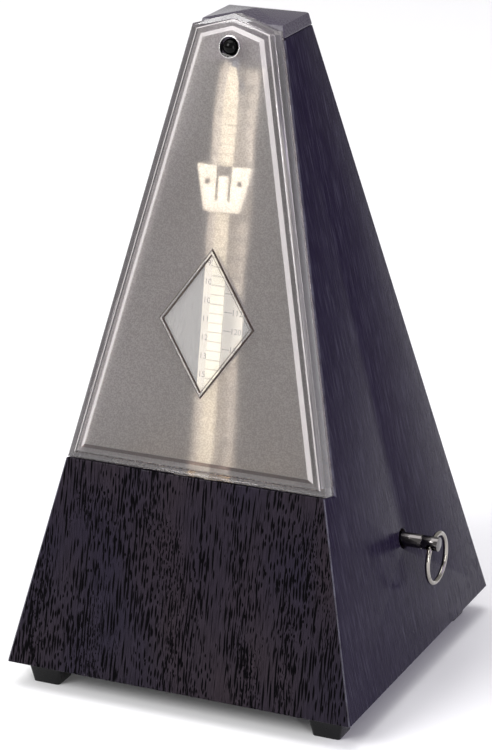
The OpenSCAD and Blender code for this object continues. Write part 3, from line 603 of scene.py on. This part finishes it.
def buildCase():
    rise = caseHigh.z - caseLow.z
    piece = addBlock("caseWalls", (-caseHalf, -caseHalf, 0), (caseHalf, caseHalf, rise))
    pickFaces(piece, lambda centre, normal: normal.z > 0.9)
    shrink = halfAt(rise) / caseHalf
    bpy.ops.transform.resize(value=(shrink, shrink, 1), center_override=(0, 0, rise))
    pickFaces(piece, lambda centre, normal: abs(normal.z) > 0.9)
    bpy.ops.mesh.inset(thickness=caseSizes["wall"] / math.cos(lean), use_individual=True)
    bpy.ops.mesh.bridge_edge_loops()
    bpy.ops.object.mode_set(mode="OBJECT")
    place(piece, caseFrame)
    cutter = doorSpace()
    place(cutter, faceFrame)
    combine(piece, cutter)
    for side in (-1, 1):
        middle = side * caseSizes["tabAt"]
        half = caseSizes["tabWidth"] / 2 + caseSizes["slotGap"]
        cutter = addBlock("slot", (middle - half, doorBottom - caseSizes["tabDrop"] - caseSizes["slotGap"],
                                   -2 * caseSizes["wall"]),
                          (middle + half, doorBottom + 1 * mm, caseSizes["slotGap"] - caseSizes["tabFace"]))
        place(cutter, faceFrame)
        combine(piece, cutter)
    cutter = addRound("keyHole", caseSizes["keyHole"], 0, 2 * caseHalf)
    place(cutter, keyFrame)
    combine(piece, cutter)
    tidyMesh(piece)
    roundEdges(piece, caseSizes["corner"], 3)
    finishPiece(piece, Matrix.Identity(4), "case", ["case_shell"], [stainedVeneer, paintedEdgeHighlight])
    # the rounded outside corners below the eaves get the painted highlight
    for face in piece.data.polygons:
        normal = face.normal
        outside = normal.x * face.center.x + normal.y * face.center.y > 0
        onCorner = min(abs(normal.x), abs(normal.y)) > 0.25 and outside
        belowEaves = face.center.z < faceFrame.translation.z + 0.9 * eavesRise
        face.material_index = 1 if onCorner and belowEaves else 0
    grainMap(piece)


def buildCap():
    low = caseHigh.z - caseLow.z + 0.1 * mm
    piece = addBlock("roofCap", (-halfAt(low), -halfAt(low), low),
                     (halfAt(low), halfAt(low), eavesRise))
    pickFaces(piece, lambda centre, normal: normal.z > 0.9)
    shrink = halfAt(eavesRise) / halfAt(low)
    bpy.ops.transform.resize(value=(shrink, shrink, 1), center_override=(0, 0, eavesRise))
    bpy.ops.object.mode_set(mode="OBJECT")
    pickFaces(piece, lambda centre, normal: normal.z < -0.9)
    inset(caseSizes["wall"] / math.cos(lean) + 0.1 * mm)
    extrude((0, 0, capLow.z - caseLow.z - low))
    bpy.ops.object.mode_set(mode="OBJECT")
    depth = doorSizes["depth"] + caseSizes["doorGap"]
    normal = Vector((0, -math.cos(lean), math.sin(lean)))
    sliceOff(piece, Vector((0, -caseHalf, 0)) - normal * depth, normal)
    pickFaces(piece, lambda centre, normal: normal.z > 0.9)
    bpy.ops.mesh.poke(offset=roofRise)
    bpy.ops.object.mode_set(mode="OBJECT")
    roundEdges(piece, 0.35 * mm, 2, 8)
    finishPiece(piece, caseFrame, "case", ["roof_cap"], [capMoulding], 20)


footSizes = {
    "corner": 1.0 * mm,
    "screwHole": 2.5 * mm,
}


def buildFeet():
    for name in ("foot_front_left", "foot_front_right", "foot_back_left", "foot_back_right"):
        low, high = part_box(name)
        middle = (low + high) / 2
        rise = high.z - low.z
        wide = (high.x - low.x) / 2
        narrow = 0.76 * wide
        piece = addBlock(name.replace("foot_", "foot-"), (-wide, -wide, 0), (wide, wide, rise))
        pickFaces(piece, lambda centre, normal: normal.z < -0.9)
        bpy.ops.transform.resize(value=(narrow / wide, narrow / wide, 1), center_override=(0, 0, 0))
        bpy.ops.object.mode_set(mode="OBJECT")
        combine(piece, addRound("screwHole", footSizes["screwHole"], -1 * mm, rise / 2))
        pickEdges(piece, lambda a, b: abs(a.z - b.z) > rise / 2 and a.xy.length > wide)
        bpy.ops.mesh.bevel(offset=footSizes["corner"], segments=4, clamp_overlap=True)
        bpy.ops.object.mode_set(mode="OBJECT")
        pickEdges(piece, lambda a, b: max(a.z, b.z) < 0.1 * mm and min(a.xy.length, b.xy.length) > 3 * mm)
        bpy.ops.mesh.bevel(offset=footSizes["corner"] * 0.5, segments=3, clamp_overlap=True)
        bpy.ops.object.mode_set(mode="OBJECT")
        finishPiece(piece, Matrix.Translation((middle.x, middle.y, low.z)), "case", [name],
                    [footMoulding])


buildCase()
buildCap()
buildFeet()
print("case, roof and feet built")


# door

windowSizes = {
    "width": 33.0 * mm,
    "length": 48.0 * mm,
    "thick": 1.2 * mm,
    "proud": 0.5 * mm,
    "border": 0.32 * mm,      # outer bevel of the frame
    "flat": 0.75 * mm,        # top of the frame
    "fall": 0.22 * mm,        # inner bevel of the frame
    "gap": 0.1 * mm,
}
latchSizes = {
    "tube": 3.6 * mm,
    "bore": 3.2 * mm,
    "lip": 4.0 * mm,
    "lipRise": 0.9 * mm,
    "ball": 2.8 * mm,
    "stem": 1.6 * mm,
    "ballDepth": 1.2 * mm,
}
windowLow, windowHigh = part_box("door_window")
windowUp = ((windowLow.z + windowHigh.z) / 2 - caseLow.z) / math.cos(lean)
studLow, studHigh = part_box("latch_stud")
latchSpot = faceFrame.inverted() @ Vector((caseMid, studLow.y + latchSizes["ball"],
                                           studHigh.z - latchSizes["ball"]))
latchUp = latchSpot.y


def lozenge(name, grow, low, high, up):
    piece = addRound(name, 1.0, low, high, (0, up), 4)
    make(piece)
    bpy.ops.object.mode_set(mode="EDIT")
    bpy.ops.mesh.select_all(action="SELECT")
    across = windowSizes["width"] / 2 + grow
    along = windowSizes["length"] / 2 + grow
    bpy.ops.transform.resize(value=(across, along, 1), center_override=(0, up, 0))
    bpy.ops.object.mode_set(mode="OBJECT")
    return piece


def buildDoor():
    sizes = doorSizes
    wide = faceHalf(doorBottom)
    piece = addBlock("frontDoor", (-wide, doorBottom, -sizes["depth"]), (wide, doorPeak, -sizes["drop"]))
    gable = math.atan((doorPeak - doorEaves) / (halfAt(eavesRise)))
    edge = math.atan(math.sin(lean))
    for side in (-1, 1):
        sliceOff(piece, (side * wide, doorBottom, 0), (side * math.cos(edge), math.sin(edge), 0))
        sliceOff(piece, (0, doorPeak, 0), (side * math.sin(gable), math.cos(gable), 0))
    tidyMesh(piece)
    pickFaces(piece, lambda centre, normal: normal.z > 0.9)
    inset(sizes["lip"])
    inset(sizes["ledge"], sizes["ledgeRise"])
    inset(sizes["strip"])
    inset(sizes["bevel"], sizes["drop"] - sizes["ledgeRise"])
    bpy.ops.object.mode_set(mode="OBJECT")
    pickFaces(piece, lambda centre, normal: normal.z < -0.9)
    inset(sizes["skirt"])
    extrude((0, 0, sizes["depth"] - sizes["panel"]))
    bpy.ops.object.mode_set(mode="OBJECT")
    for side in (-1, 1):
        middle = side * caseSizes["tabAt"]
        half = caseSizes["tabWidth"] / 2
        tab = addBlock("tab", (middle - half, doorBottom - caseSizes["tabDrop"],
                               -caseSizes["tabFace"] - caseSizes["tabThick"]),
                       (middle + half, doorBottom + 1 * mm, -caseSizes["tabFace"]))
        # the part of the tab under the flange lies inside the door's bottom wall
        tab.location.z -= 0.35 * mm
        make(tab)
        settle()
        combine(piece, tab, "UNION")
    combine(piece, lozenge("windowHole", windowSizes["gap"], -5 * mm, 5 * mm, windowUp))
    combine(piece, addRound("ringHole", latchSizes["tube"], -2 * sizes["depth"], 5 * mm, (0, latchUp)))
    tidyMesh(piece)
    roundEdges(piece, sizes["edge"], 2, 20)
    finishPiece(piece, faceFrame, "door", ["front_door"],
                [clearRim, frostedPanel, bevelHighlight, shadedBevel], 30)
    outwards = Vector((0, -math.cos(lean), math.sin(lean)))
    # the flange's bevels get the painted highlight, and those facing down get the painted shade
    for face in piece.data.polygons:
        spot = faceFrame.inverted() @ face.center
        facing = face.normal.dot(outwards)
        onFront = facing > 0.99 and spot.z > -0.1 * mm
        onBack = facing < -0.99 and abs(spot.z + sizes["panel"]) < 0.1 * mm
        onBevel = 0.6 < facing < 0.985 and spot.z > -sizes["drop"] - 0.2 * mm
        downwards = face.normal.z < -0.2
        face.material_index = 1 if onFront or onBack else 3 if onBevel and downwards else 2 if onBevel else 0


def buildWindow():
    sizes = windowSizes
    piece = lozenge("lozengeWindow", 0.0, -sizes["thick"], 0.0, windowUp)
    pickFaces(piece, lambda centre, normal: normal.z > 0.9)
    inset(sizes["border"], sizes["proud"])
    inset(sizes["flat"])
    inset(sizes["fall"], -0.6 * mm)
    bpy.ops.object.mode_set(mode="OBJECT")
    roundEdges(piece, 0.1 * mm, 2, 12)
    finishPiece(piece, faceFrame, "door", ["door_window"], [clearPane, paneEdgeShade], 15)
    outwards = Vector((0, -math.cos(lean), math.sin(lean)))
    # the frame's sloped bevels get the painted shade lines
    for face in piece.data.polygons:
        face.material_index = 1 if -0.5 < face.normal.dot(outwards) < 0.97 else 0


def buildLatch():
    sizes = latchSizes
    low = -doorSizes["panel"]
    ring = addRound("latchRing", sizes["tube"], low, 0, (0, latchUp), 72)
    pickFaces(ring, lambda centre, normal: normal.z > 0.9)
    bpy.ops.mesh.inset(thickness=sizes["lip"] - sizes["tube"], use_outset=True)
    bpy.ops.object.mode_set(mode="OBJECT")
    pickFaces(ring, lambda centre, normal: normal.z > 0.9 and centre.z > -0.1 * mm)
    extrude((0, 0, sizes["lipRise"]))
    bpy.ops.object.mode_set(mode="OBJECT")
    combine(ring, addRound("bore", sizes["bore"], -2 * doorSizes["depth"], 5 * mm, (0, latchUp), 72))
    tidyMesh(ring)
    roundEdges(ring, 0.28 * mm, 3)
    finishPiece(ring, faceFrame, "door", ["latch_ring"], [brightNickel])
    clearAll()
    bpy.ops.mesh.primitive_uv_sphere_add(segments=64, ring_count=32, radius=sizes["ball"],
                                         location=(0, latchUp, -sizes["ballDepth"]))
    ball = settle()
    ball.name = "latchStud"
    studBack = (studHigh - studLow).length
    stem = addRound("stem", sizes["stem"], -studBack, -sizes["ballDepth"] - 1 * mm, (0, latchUp), 32)
    combine(ball, stem, "UNION")
    finishPiece(ball, faceFrame, "case", ["latch_stud"], [blackGloss])


buildDoor()
buildWindow()
buildLatch()
print("door, window and latch built")


# pendulum

weightSizes = {
    "top": 19.0 * mm,
    "bottom": 12.8 * mm,
    "length": 14.5 * mm,
    "thick": 3.4 * mm,
    "corner": 1.2 * mm,
    "slot": (4.8 / 2 + 0.08) * mm,
    "slotThick": (0.9 / 2 + 0.08) * mm,
    "tongue": 4.4 * mm,
    "slit": 0.9 * mm,
    "slitLength": 11.0 * mm,
    "notch": 3.2 * mm,
    "web": 0.25 * mm,         # left in front of the rod in the slits and the notch, as a floor for the painted shade
    "dimpleAt": (5.5 * mm, 2.05 * mm),
    "dimple": 0.9 * mm,
}
rodSizes = {
    "width": 4.8 * mm,
    "thick": 0.9 * mm,
    "pitch": 3.0 * mm,
    "notch": 0.5 * mm,
    "notchDepth": 0.2 * mm,
}


def buildWeight():
    sizes = weightSizes
    halfTop, halfLength, halfThick = sizes["top"] / 2, sizes["length"] / 2, sizes["thick"] / 2
    piece = addBlock("slidingWeight", (-halfTop, -halfThick, -halfLength), (halfTop, halfThick, halfLength))
    pickFaces(piece, lambda centre, normal: normal.z < -0.9)
    bpy.ops.transform.resize(value=(sizes["bottom"] / sizes["top"], 1, 1),
                             center_override=(0, 0, -halfLength))
    bpy.ops.object.mode_set(mode="OBJECT")
    pickEdges(piece, lambda a, b: abs(a.y - b.y) > halfThick and a.z < 0)
    bpy.ops.mesh.bevel(offset=sizes["corner"], segments=5)
    bpy.ops.object.mode_set(mode="OBJECT")
    over = 1 * mm
    floor = -sizes["slotThick"] - sizes["web"]
    combine(piece, addBlock("channel", (-sizes["slot"], -sizes["slotThick"], -halfLength - over),
                            (sizes["slot"], sizes["slotThick"], halfLength + over)))
    for side in (-1, 1):
        middle = side * sizes["tongue"] / 2
        combine(piece, addBlock("slit", (middle - sizes["slit"] / 2, -halfThick - over,
                                         halfLength - sizes["slitLength"]),
                                (middle + sizes["slit"] / 2, floor, halfLength + over)))
    combine(piece, addBlock("notch", (-sizes["tongue"] / 2, -halfThick - over, halfLength - sizes["notch"]),
                            (sizes["tongue"] / 2, floor, halfLength + over)))
    for side in (-1, 1):
        across, up = sizes["dimpleAt"]
        hole = addRound("dimple", sizes["dimple"], -0.5 * mm, over, sides=24)
        turn = Matrix.Rotation(math.pi / 2, 4, "X")
        place(hole, Matrix.Translation((side * across, -halfThick, up)) @ turn)
        combine(piece, hole)
    tidyMesh(piece)
    roundEdges(piece, 0.22 * mm, 2)
    finishPiece(piece, rodFrame, "weight", ["sliding_weight"], [ivoryLacquer, shadedLacquer])
    back = rodFrame.inverted()
    across, up = sizes["dimpleAt"]
    # the floors of the slits and the notch, and the dimples, get the painted shade
    for face in piece.data.polygons:
        spot = back @ face.center
        inSlots = (abs(spot.x) < sizes["tongue"] / 2 + sizes["slit"] / 2 + 0.1 * mm
                   and abs(spot.y - floor) < 0.15 * mm)
        inDimple = (Vector((abs(spot.x) - across, spot.z - up)).length < sizes["dimple"]
                    and -halfThick + 0.1 * mm < spot.y < floor)
        face.material_index = 1 if inSlots or inDimple else 0


def buildRod():
    sizes = rodSizes
    low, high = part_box("pendulum_rod")
    flat = sizes["thick"] / 2 * rodUp.y
    bottom = (low.z + flat - weightMid.z) / rodUp.z
    top = (high.z - flat - weightMid.z) / rodUp.z
    half, thick = sizes["width"] / 2, sizes["thick"] / 2
    piece = addBlock("pendulumRod", (-half, -thick, bottom), (half, thick, top))
    scoreAcross(piece, (0, 0, top - sizes["width"]), (0, 0, 1))
    pickFaces(piece, lambda centre, normal: normal.z > 0.9)
    bpy.ops.transform.resize(value=(0.5, 1, 1), center_override=(0, 0, top))
    bpy.ops.object.mode_set(mode="OBJECT")
    firstNotch = bottom + 0.33 * (top - bottom)
    count = int((top - 8 * mm - firstNotch) / sizes["pitch"])
    notches = addBlock("notches", (-2 * half, -thick - 1 * mm, firstNotch),
                       (2 * half, sizes["notchDepth"] - thick, firstNotch + sizes["notch"]))
    make(notches)
    rows = notches.modifiers.new("rows", "ARRAY")
    rows.use_relative_offset = False
    rows.use_constant_offset = True
    rows.constant_offset_displace = (0, 0, sizes["pitch"])
    rows.count = count
    bpy.ops.object.modifier_apply(modifier=rows.name)
    combine(piece, notches)
    roundEdges(piece, 0.06 * mm, 1)
    finishPiece(piece, rodFrame, "pendulum", ["pendulum_rod"], [creamLacquer, creamNotchShade])
    back = rodFrame.inverted()
    # the notch floors get the painted shade
    for face in piece.data.polygons:
        spot = back @ face.center
        face.material_index = 1 if -thick + 0.05 * mm < spot.y < sizes["notchDepth"] - thick + 0.05 * mm \
            and abs(spot.x) < half * 0.9 else 0


buildWeight()
buildRod()
print("pendulum built")


# scale

scaleSizes = {
    "width": 14.4 * mm,
    "thick": 0.8 * mm,
    "behind": 4.6 * mm,       # rod's middle to the scale's face
    "mark": 0.22 * mm,        # thickness of a printed line
    "markLength": 3.0 * mm,
    "markAt": 3.9 * mm,       # printed line's outer end, from the scale's edge
    "digit": 2.7 * mm,
    "digitAt": 2.1 * mm,      # numbers' middle, from the scale's edge
    "firstRow": 6.0 * mm,     # topmost number below the scale's top
    "foot": 6.0 * mm,
    "screwHole": 1.45 * mm,
    "edge": 0.12 * mm,        # softness of its edges
    "ink": 0.03 * mm,
    "pitch": 3.0 * mm,
    # tempo steps: from, to, step
    "tempos": [(40, 60, 2), (60, 72, 3), (72, 120, 4), (120, 144, 6), (144, 209, 8)],
}


def buildScale():
    sizes = scaleSizes
    low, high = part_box("scale_plate")
    half = sizes["width"] / 2
    face = sizes["behind"]
    lowEnd = rodFrame.inverted() @ Vector((weightMid.x, low.y, low.z))
    highEnd = rodFrame.inverted() @ Vector((weightMid.x, high.y, high.z))
    top = highEnd.z
    bottom = lowEnd.z
    # the plate runs up the rod's lean, and its foot lies level on the movement's top plate
    piece = addBlock("scalePlate", (-half, face, bottom - 3 * mm), (half, face + sizes["thick"], top))
    place(piece, rodFrame)
    sliceOff(piece, (0, 0, low.z), (0, 0, -1))
    corners = [piece.matrix_world @ vertex.co for vertex in piece.data.vertices]
    footFront = min(corner.y for corner in corners if corner.z < low.z + 0.5 * mm)
    foot = addBlock("foot", (weightMid.x - half, footFront, low.z),
                    (weightMid.x + half, footFront + sizes["foot"], low.z + sizes["thick"]))
    combine(piece, foot, "UNION")
    screwAt = footFront + sizes["foot"] / 2 + sizes["thick"]
    combine(piece, addRound("hole", sizes["screwHole"], low.z - 1 * mm, low.z + 3 * mm,
                            (weightMid.x, screwAt), 32))
    tidyMesh(piece)
    roundEdges(piece, sizes["edge"], 2)
    finishPiece(piece, Matrix.Identity(4), "case", ["scale_plate"], [creamPrint])
    return face, top


def buildMarks(face, top):
    sizes = scaleSizes
    half = sizes["width"] / 2
    tempos = [tempo for start, stop, step in sizes["tempos"] for tempo in range(start, stop, step)]
    parts = []
    for row, tempo in enumerate(tempos):
        up = top - sizes["firstRow"] - row * sizes["pitch"]
        side = 1 if row % 2 == 0 else -1
        reach = half - sizes["markAt"]
        inner, outer = side * (reach - sizes["markLength"]), side * reach
        line = addBlock("line", (min(inner, outer), face - sizes["ink"], up - sizes["mark"] / 2),
                        (max(inner, outer), face + sizes["ink"], up + sizes["mark"] / 2))
        parts.append(line)
        clearAll()
        bpy.ops.object.text_add()
        digits = bpy.context.object
        digits.data.body = str(tempo)
        digits.data.size = sizes["digit"]
        digits.data.extrude = sizes["ink"]
        digits.data.resolution_u = 3
        digits.data.align_x = "CENTER"
        digits.data.align_y = "CENTER"
        bpy.ops.object.convert(target="MESH")
        digits = bpy.context.object
        turn = Matrix.Rotation(math.pi / 2, 4, "X")
        place(digits, Matrix.Translation((side * (half - sizes["digitAt"]), face, up)) @ turn)
        parts.append(digits)
    clearAll()
    for part in parts:
        part.select_set(True)
    bpy.context.view_layer.objects.active = parts[0]
    bpy.ops.object.join()
    marks = bpy.context.object
    marks.name = "scaleMarks"
    tidyMesh(marks)
    finishPiece(marks, rodFrame, "case", [], [printInk])


buildMarks(*buildScale())
print("scale printed")


# key

keySizes = {
    "shank": 4.7 / 2 * mm,
    "seamShare": 0.53,
    "seam": 0.4 * mm,
    "seamDepth": 0.3 * mm,
    "wire": 1.7 / 2 * mm,
    "ring": 8.2 * mm,
    "ringBack": 2.5 * mm,     # ring's middle behind the shank's end
    "hole": 1.45 * mm,
}
shankLow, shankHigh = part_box("key_shank")
ringLow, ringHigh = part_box("key_ring")


def buildKey():
    sizes = keySizes
    endX = shankHigh.x
    wallX = caseMid + halfAt(keyAt.z - caseLow.z)
    shank = addRound("keyShank", sizes["shank"], shankLow.x, endX, sides=72)
    seam = wallX + sizes["seamShare"] * (endX - wallX)
    for up in (seam, seam + sizes["seam"]):
        scoreAcross(shank, (0, 0, up), (0, 0, 1))
    pickFaces(shank, lambda centre, normal: abs(normal.z) < 0.1 and abs(centre.z - seam - sizes["seam"] / 2)
              < sizes["seam"] / 4)
    bpy.ops.mesh.extrude_region_shrink_fatten(
        TRANSFORM_OT_shrink_fatten={"value": -sizes["seamDepth"]})
    bpy.ops.object.mode_set(mode="OBJECT")
    ringAxis = Vector(joints["ring_swing"]["axis"])
    stop = math.atan2(-ringAxis.z, -ringAxis.y)
    hole = addRound("crossHole", sizes["hole"], -6 * mm, 6 * mm, sides=32)
    place(hole, Matrix.Translation((0, 0, endX - sizes["ringBack"]))
          @ Matrix.Rotation(stop, 4, "Z") @ Matrix.Rotation(math.pi / 2, 4, "Y"))
    combine(shank, hole)
    tidyMesh(shank)
    roundEdges(shank, 0.3 * mm, 3)
    # the shank's nickel carries a painted dark reflection
    finishPiece(shank, keyFrame, "winding", ["key_shank"], [nickelDarkReflection])
    ringMid = (ringLow + ringHigh) / 2
    clearAll()
    bpy.ops.mesh.primitive_torus_add(major_radius=sizes["ring"], minor_radius=sizes["wire"],
                                     major_segments=112, minor_segments=28)
    ring = settle()
    ring.name = "keyRing"
    # the wire's butt joint
    combine(ring, addBlock("joint", (sizes["ring"] - 2 * mm, -0.06 * mm, -2 * mm),
                           (sizes["ring"] + 2 * mm, 0.06 * mm, 2 * mm)))
    place(ring, Matrix.Rotation(math.radians(-60), 4, "Z"))
    finishPiece(ring, Matrix.Translation(ringMid) @ Matrix.Rotation(math.pi / 2, 4, "Y"),
                "ring", ["key_ring"], [ringNickelReflection], 40)


buildKey()
print("key built")


# finishes of the pieces that stay as the frame has them

nodeFinishes = {
    "base": baseMoulding,
    "spring_steel": springSteel,
    "steel": turnedSteel,
    "brass": stampedBrass,
    "screws": screwSteel,
    # the key's nodes take the nickel with the painted dark reflection
    "key": nickelDarkReflection,
}
for part in frame["record"]["subparts"]:
    node = frame["nodes"][part["node"]]
    finish = nodeFinishes.get(part["material_slot"])
    if node.hide_render or finish is None:
        continue
    for slot in node.material_slots:
        slot.material = finish
print("movement finished")


# stage, light and camera

stageSizes = {
    "floor": 8.0,
    "floorColour": (0.93, 0.93, 0.94),
    "worldStrength": 0.5,
}
cameraSizes = {
    "turn": (-24.72, -19.65, -0.33),         # yaw, pitch and roll, in degrees
    "from": (0.4016, -0.8772, 0.4414),       # from the middle of the case on the floor
    "lens": 150.2,
    "sensor": 36,
}
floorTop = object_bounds()[0].z


def buildStage():
    clearAll()
    bpy.ops.mesh.primitive_plane_add(size=stageSizes["floor"], location=(0, 0, floorTop))
    floor = bpy.context.object
    floor.name = "studioFloor"
    floor.data.materials.append(newFinish("studioFloor", stageSizes["floorColour"], 0.9)[0])
    world = bpy.data.worlds.new("studioLight")
    bpy.context.scene.world = world
    world.use_nodes = True
    background = world.node_tree.nodes["Background"]
    background.inputs["Color"].default_value = (1.0, 0.99, 0.98, 1)
    background.inputs["Strength"].default_value = stageSizes["worldStrength"]


def addLamp(name, place, target, width, height, power, colour=(1, 1, 1)):
    lamp = bpy.data.lights.new(name, "AREA")
    lamp.shape = "RECTANGLE"
    lamp.size = width
    lamp.size_y = height
    lamp.energy = power
    lamp.color = colour
    holder = bpy.data.objects.new(name, lamp)
    bpy.context.scene.collection.objects.link(holder)
    holder.location = place
    holder.rotation_euler = (Vector(target) - Vector(place)).to_track_quat("-Z", "Y").to_euler()


def addCamera():
    yaw, pitch, roll = (math.radians(angle) for angle in cameraSizes["turn"])
    ahead = Vector((math.sin(yaw) * math.cos(pitch), math.cos(yaw) * math.cos(pitch), math.sin(pitch)))
    right = Vector((math.cos(yaw), -math.sin(yaw), 0))
    up = right.cross(ahead)
    tiltedRight = right * math.cos(roll) + up * math.sin(roll)
    tiltedUp = up * math.cos(roll) - right * math.sin(roll)
    camera = bpy.data.cameras.new("camera")
    camera.sensor_width = cameraSizes["sensor"]
    camera.lens = cameraSizes["lens"]
    camera.clip_start = 0.01
    holder = bpy.data.objects.new("camera", camera)
    bpy.context.scene.collection.objects.link(holder)
    turn = Matrix((tiltedRight, tiltedUp, -ahead)).transposed().to_4x4()
    spot = Vector(cameraSizes["from"]) + Vector((caseMid, 0, 0))
    holder.matrix_world = Matrix.Translation(spot) @ turn
    bpy.context.scene.camera = holder


buildStage()
addLamp("keyLight", (-0.8, -1.3, 1.2), (0, 0, 0.1), 0.8, 0.8, 24)
addLamp("edgeLight", (1.15, -1.13, 0.25), (0, 0, 0.12), 0.12, 1.3, 9)
addLamp("sideLight", (1.6, 0.2, 0.9), (0, 0, 0.1), 1.2, 1.2, 5, (0.62, 0.5, 1.0))
addLamp("topLight", (-0.35, -0.1, 2.0), (0, 0.1, 0), 1.6, 1.6, 22)
addLamp("backLight", (-1.1, 1.3, 0.5), (0, 0, 0.2), 0.8, 0.6, 1.2)
addCamera()
bpy.context.scene.view_settings.view_transform = "Standard"
print("stage ready")
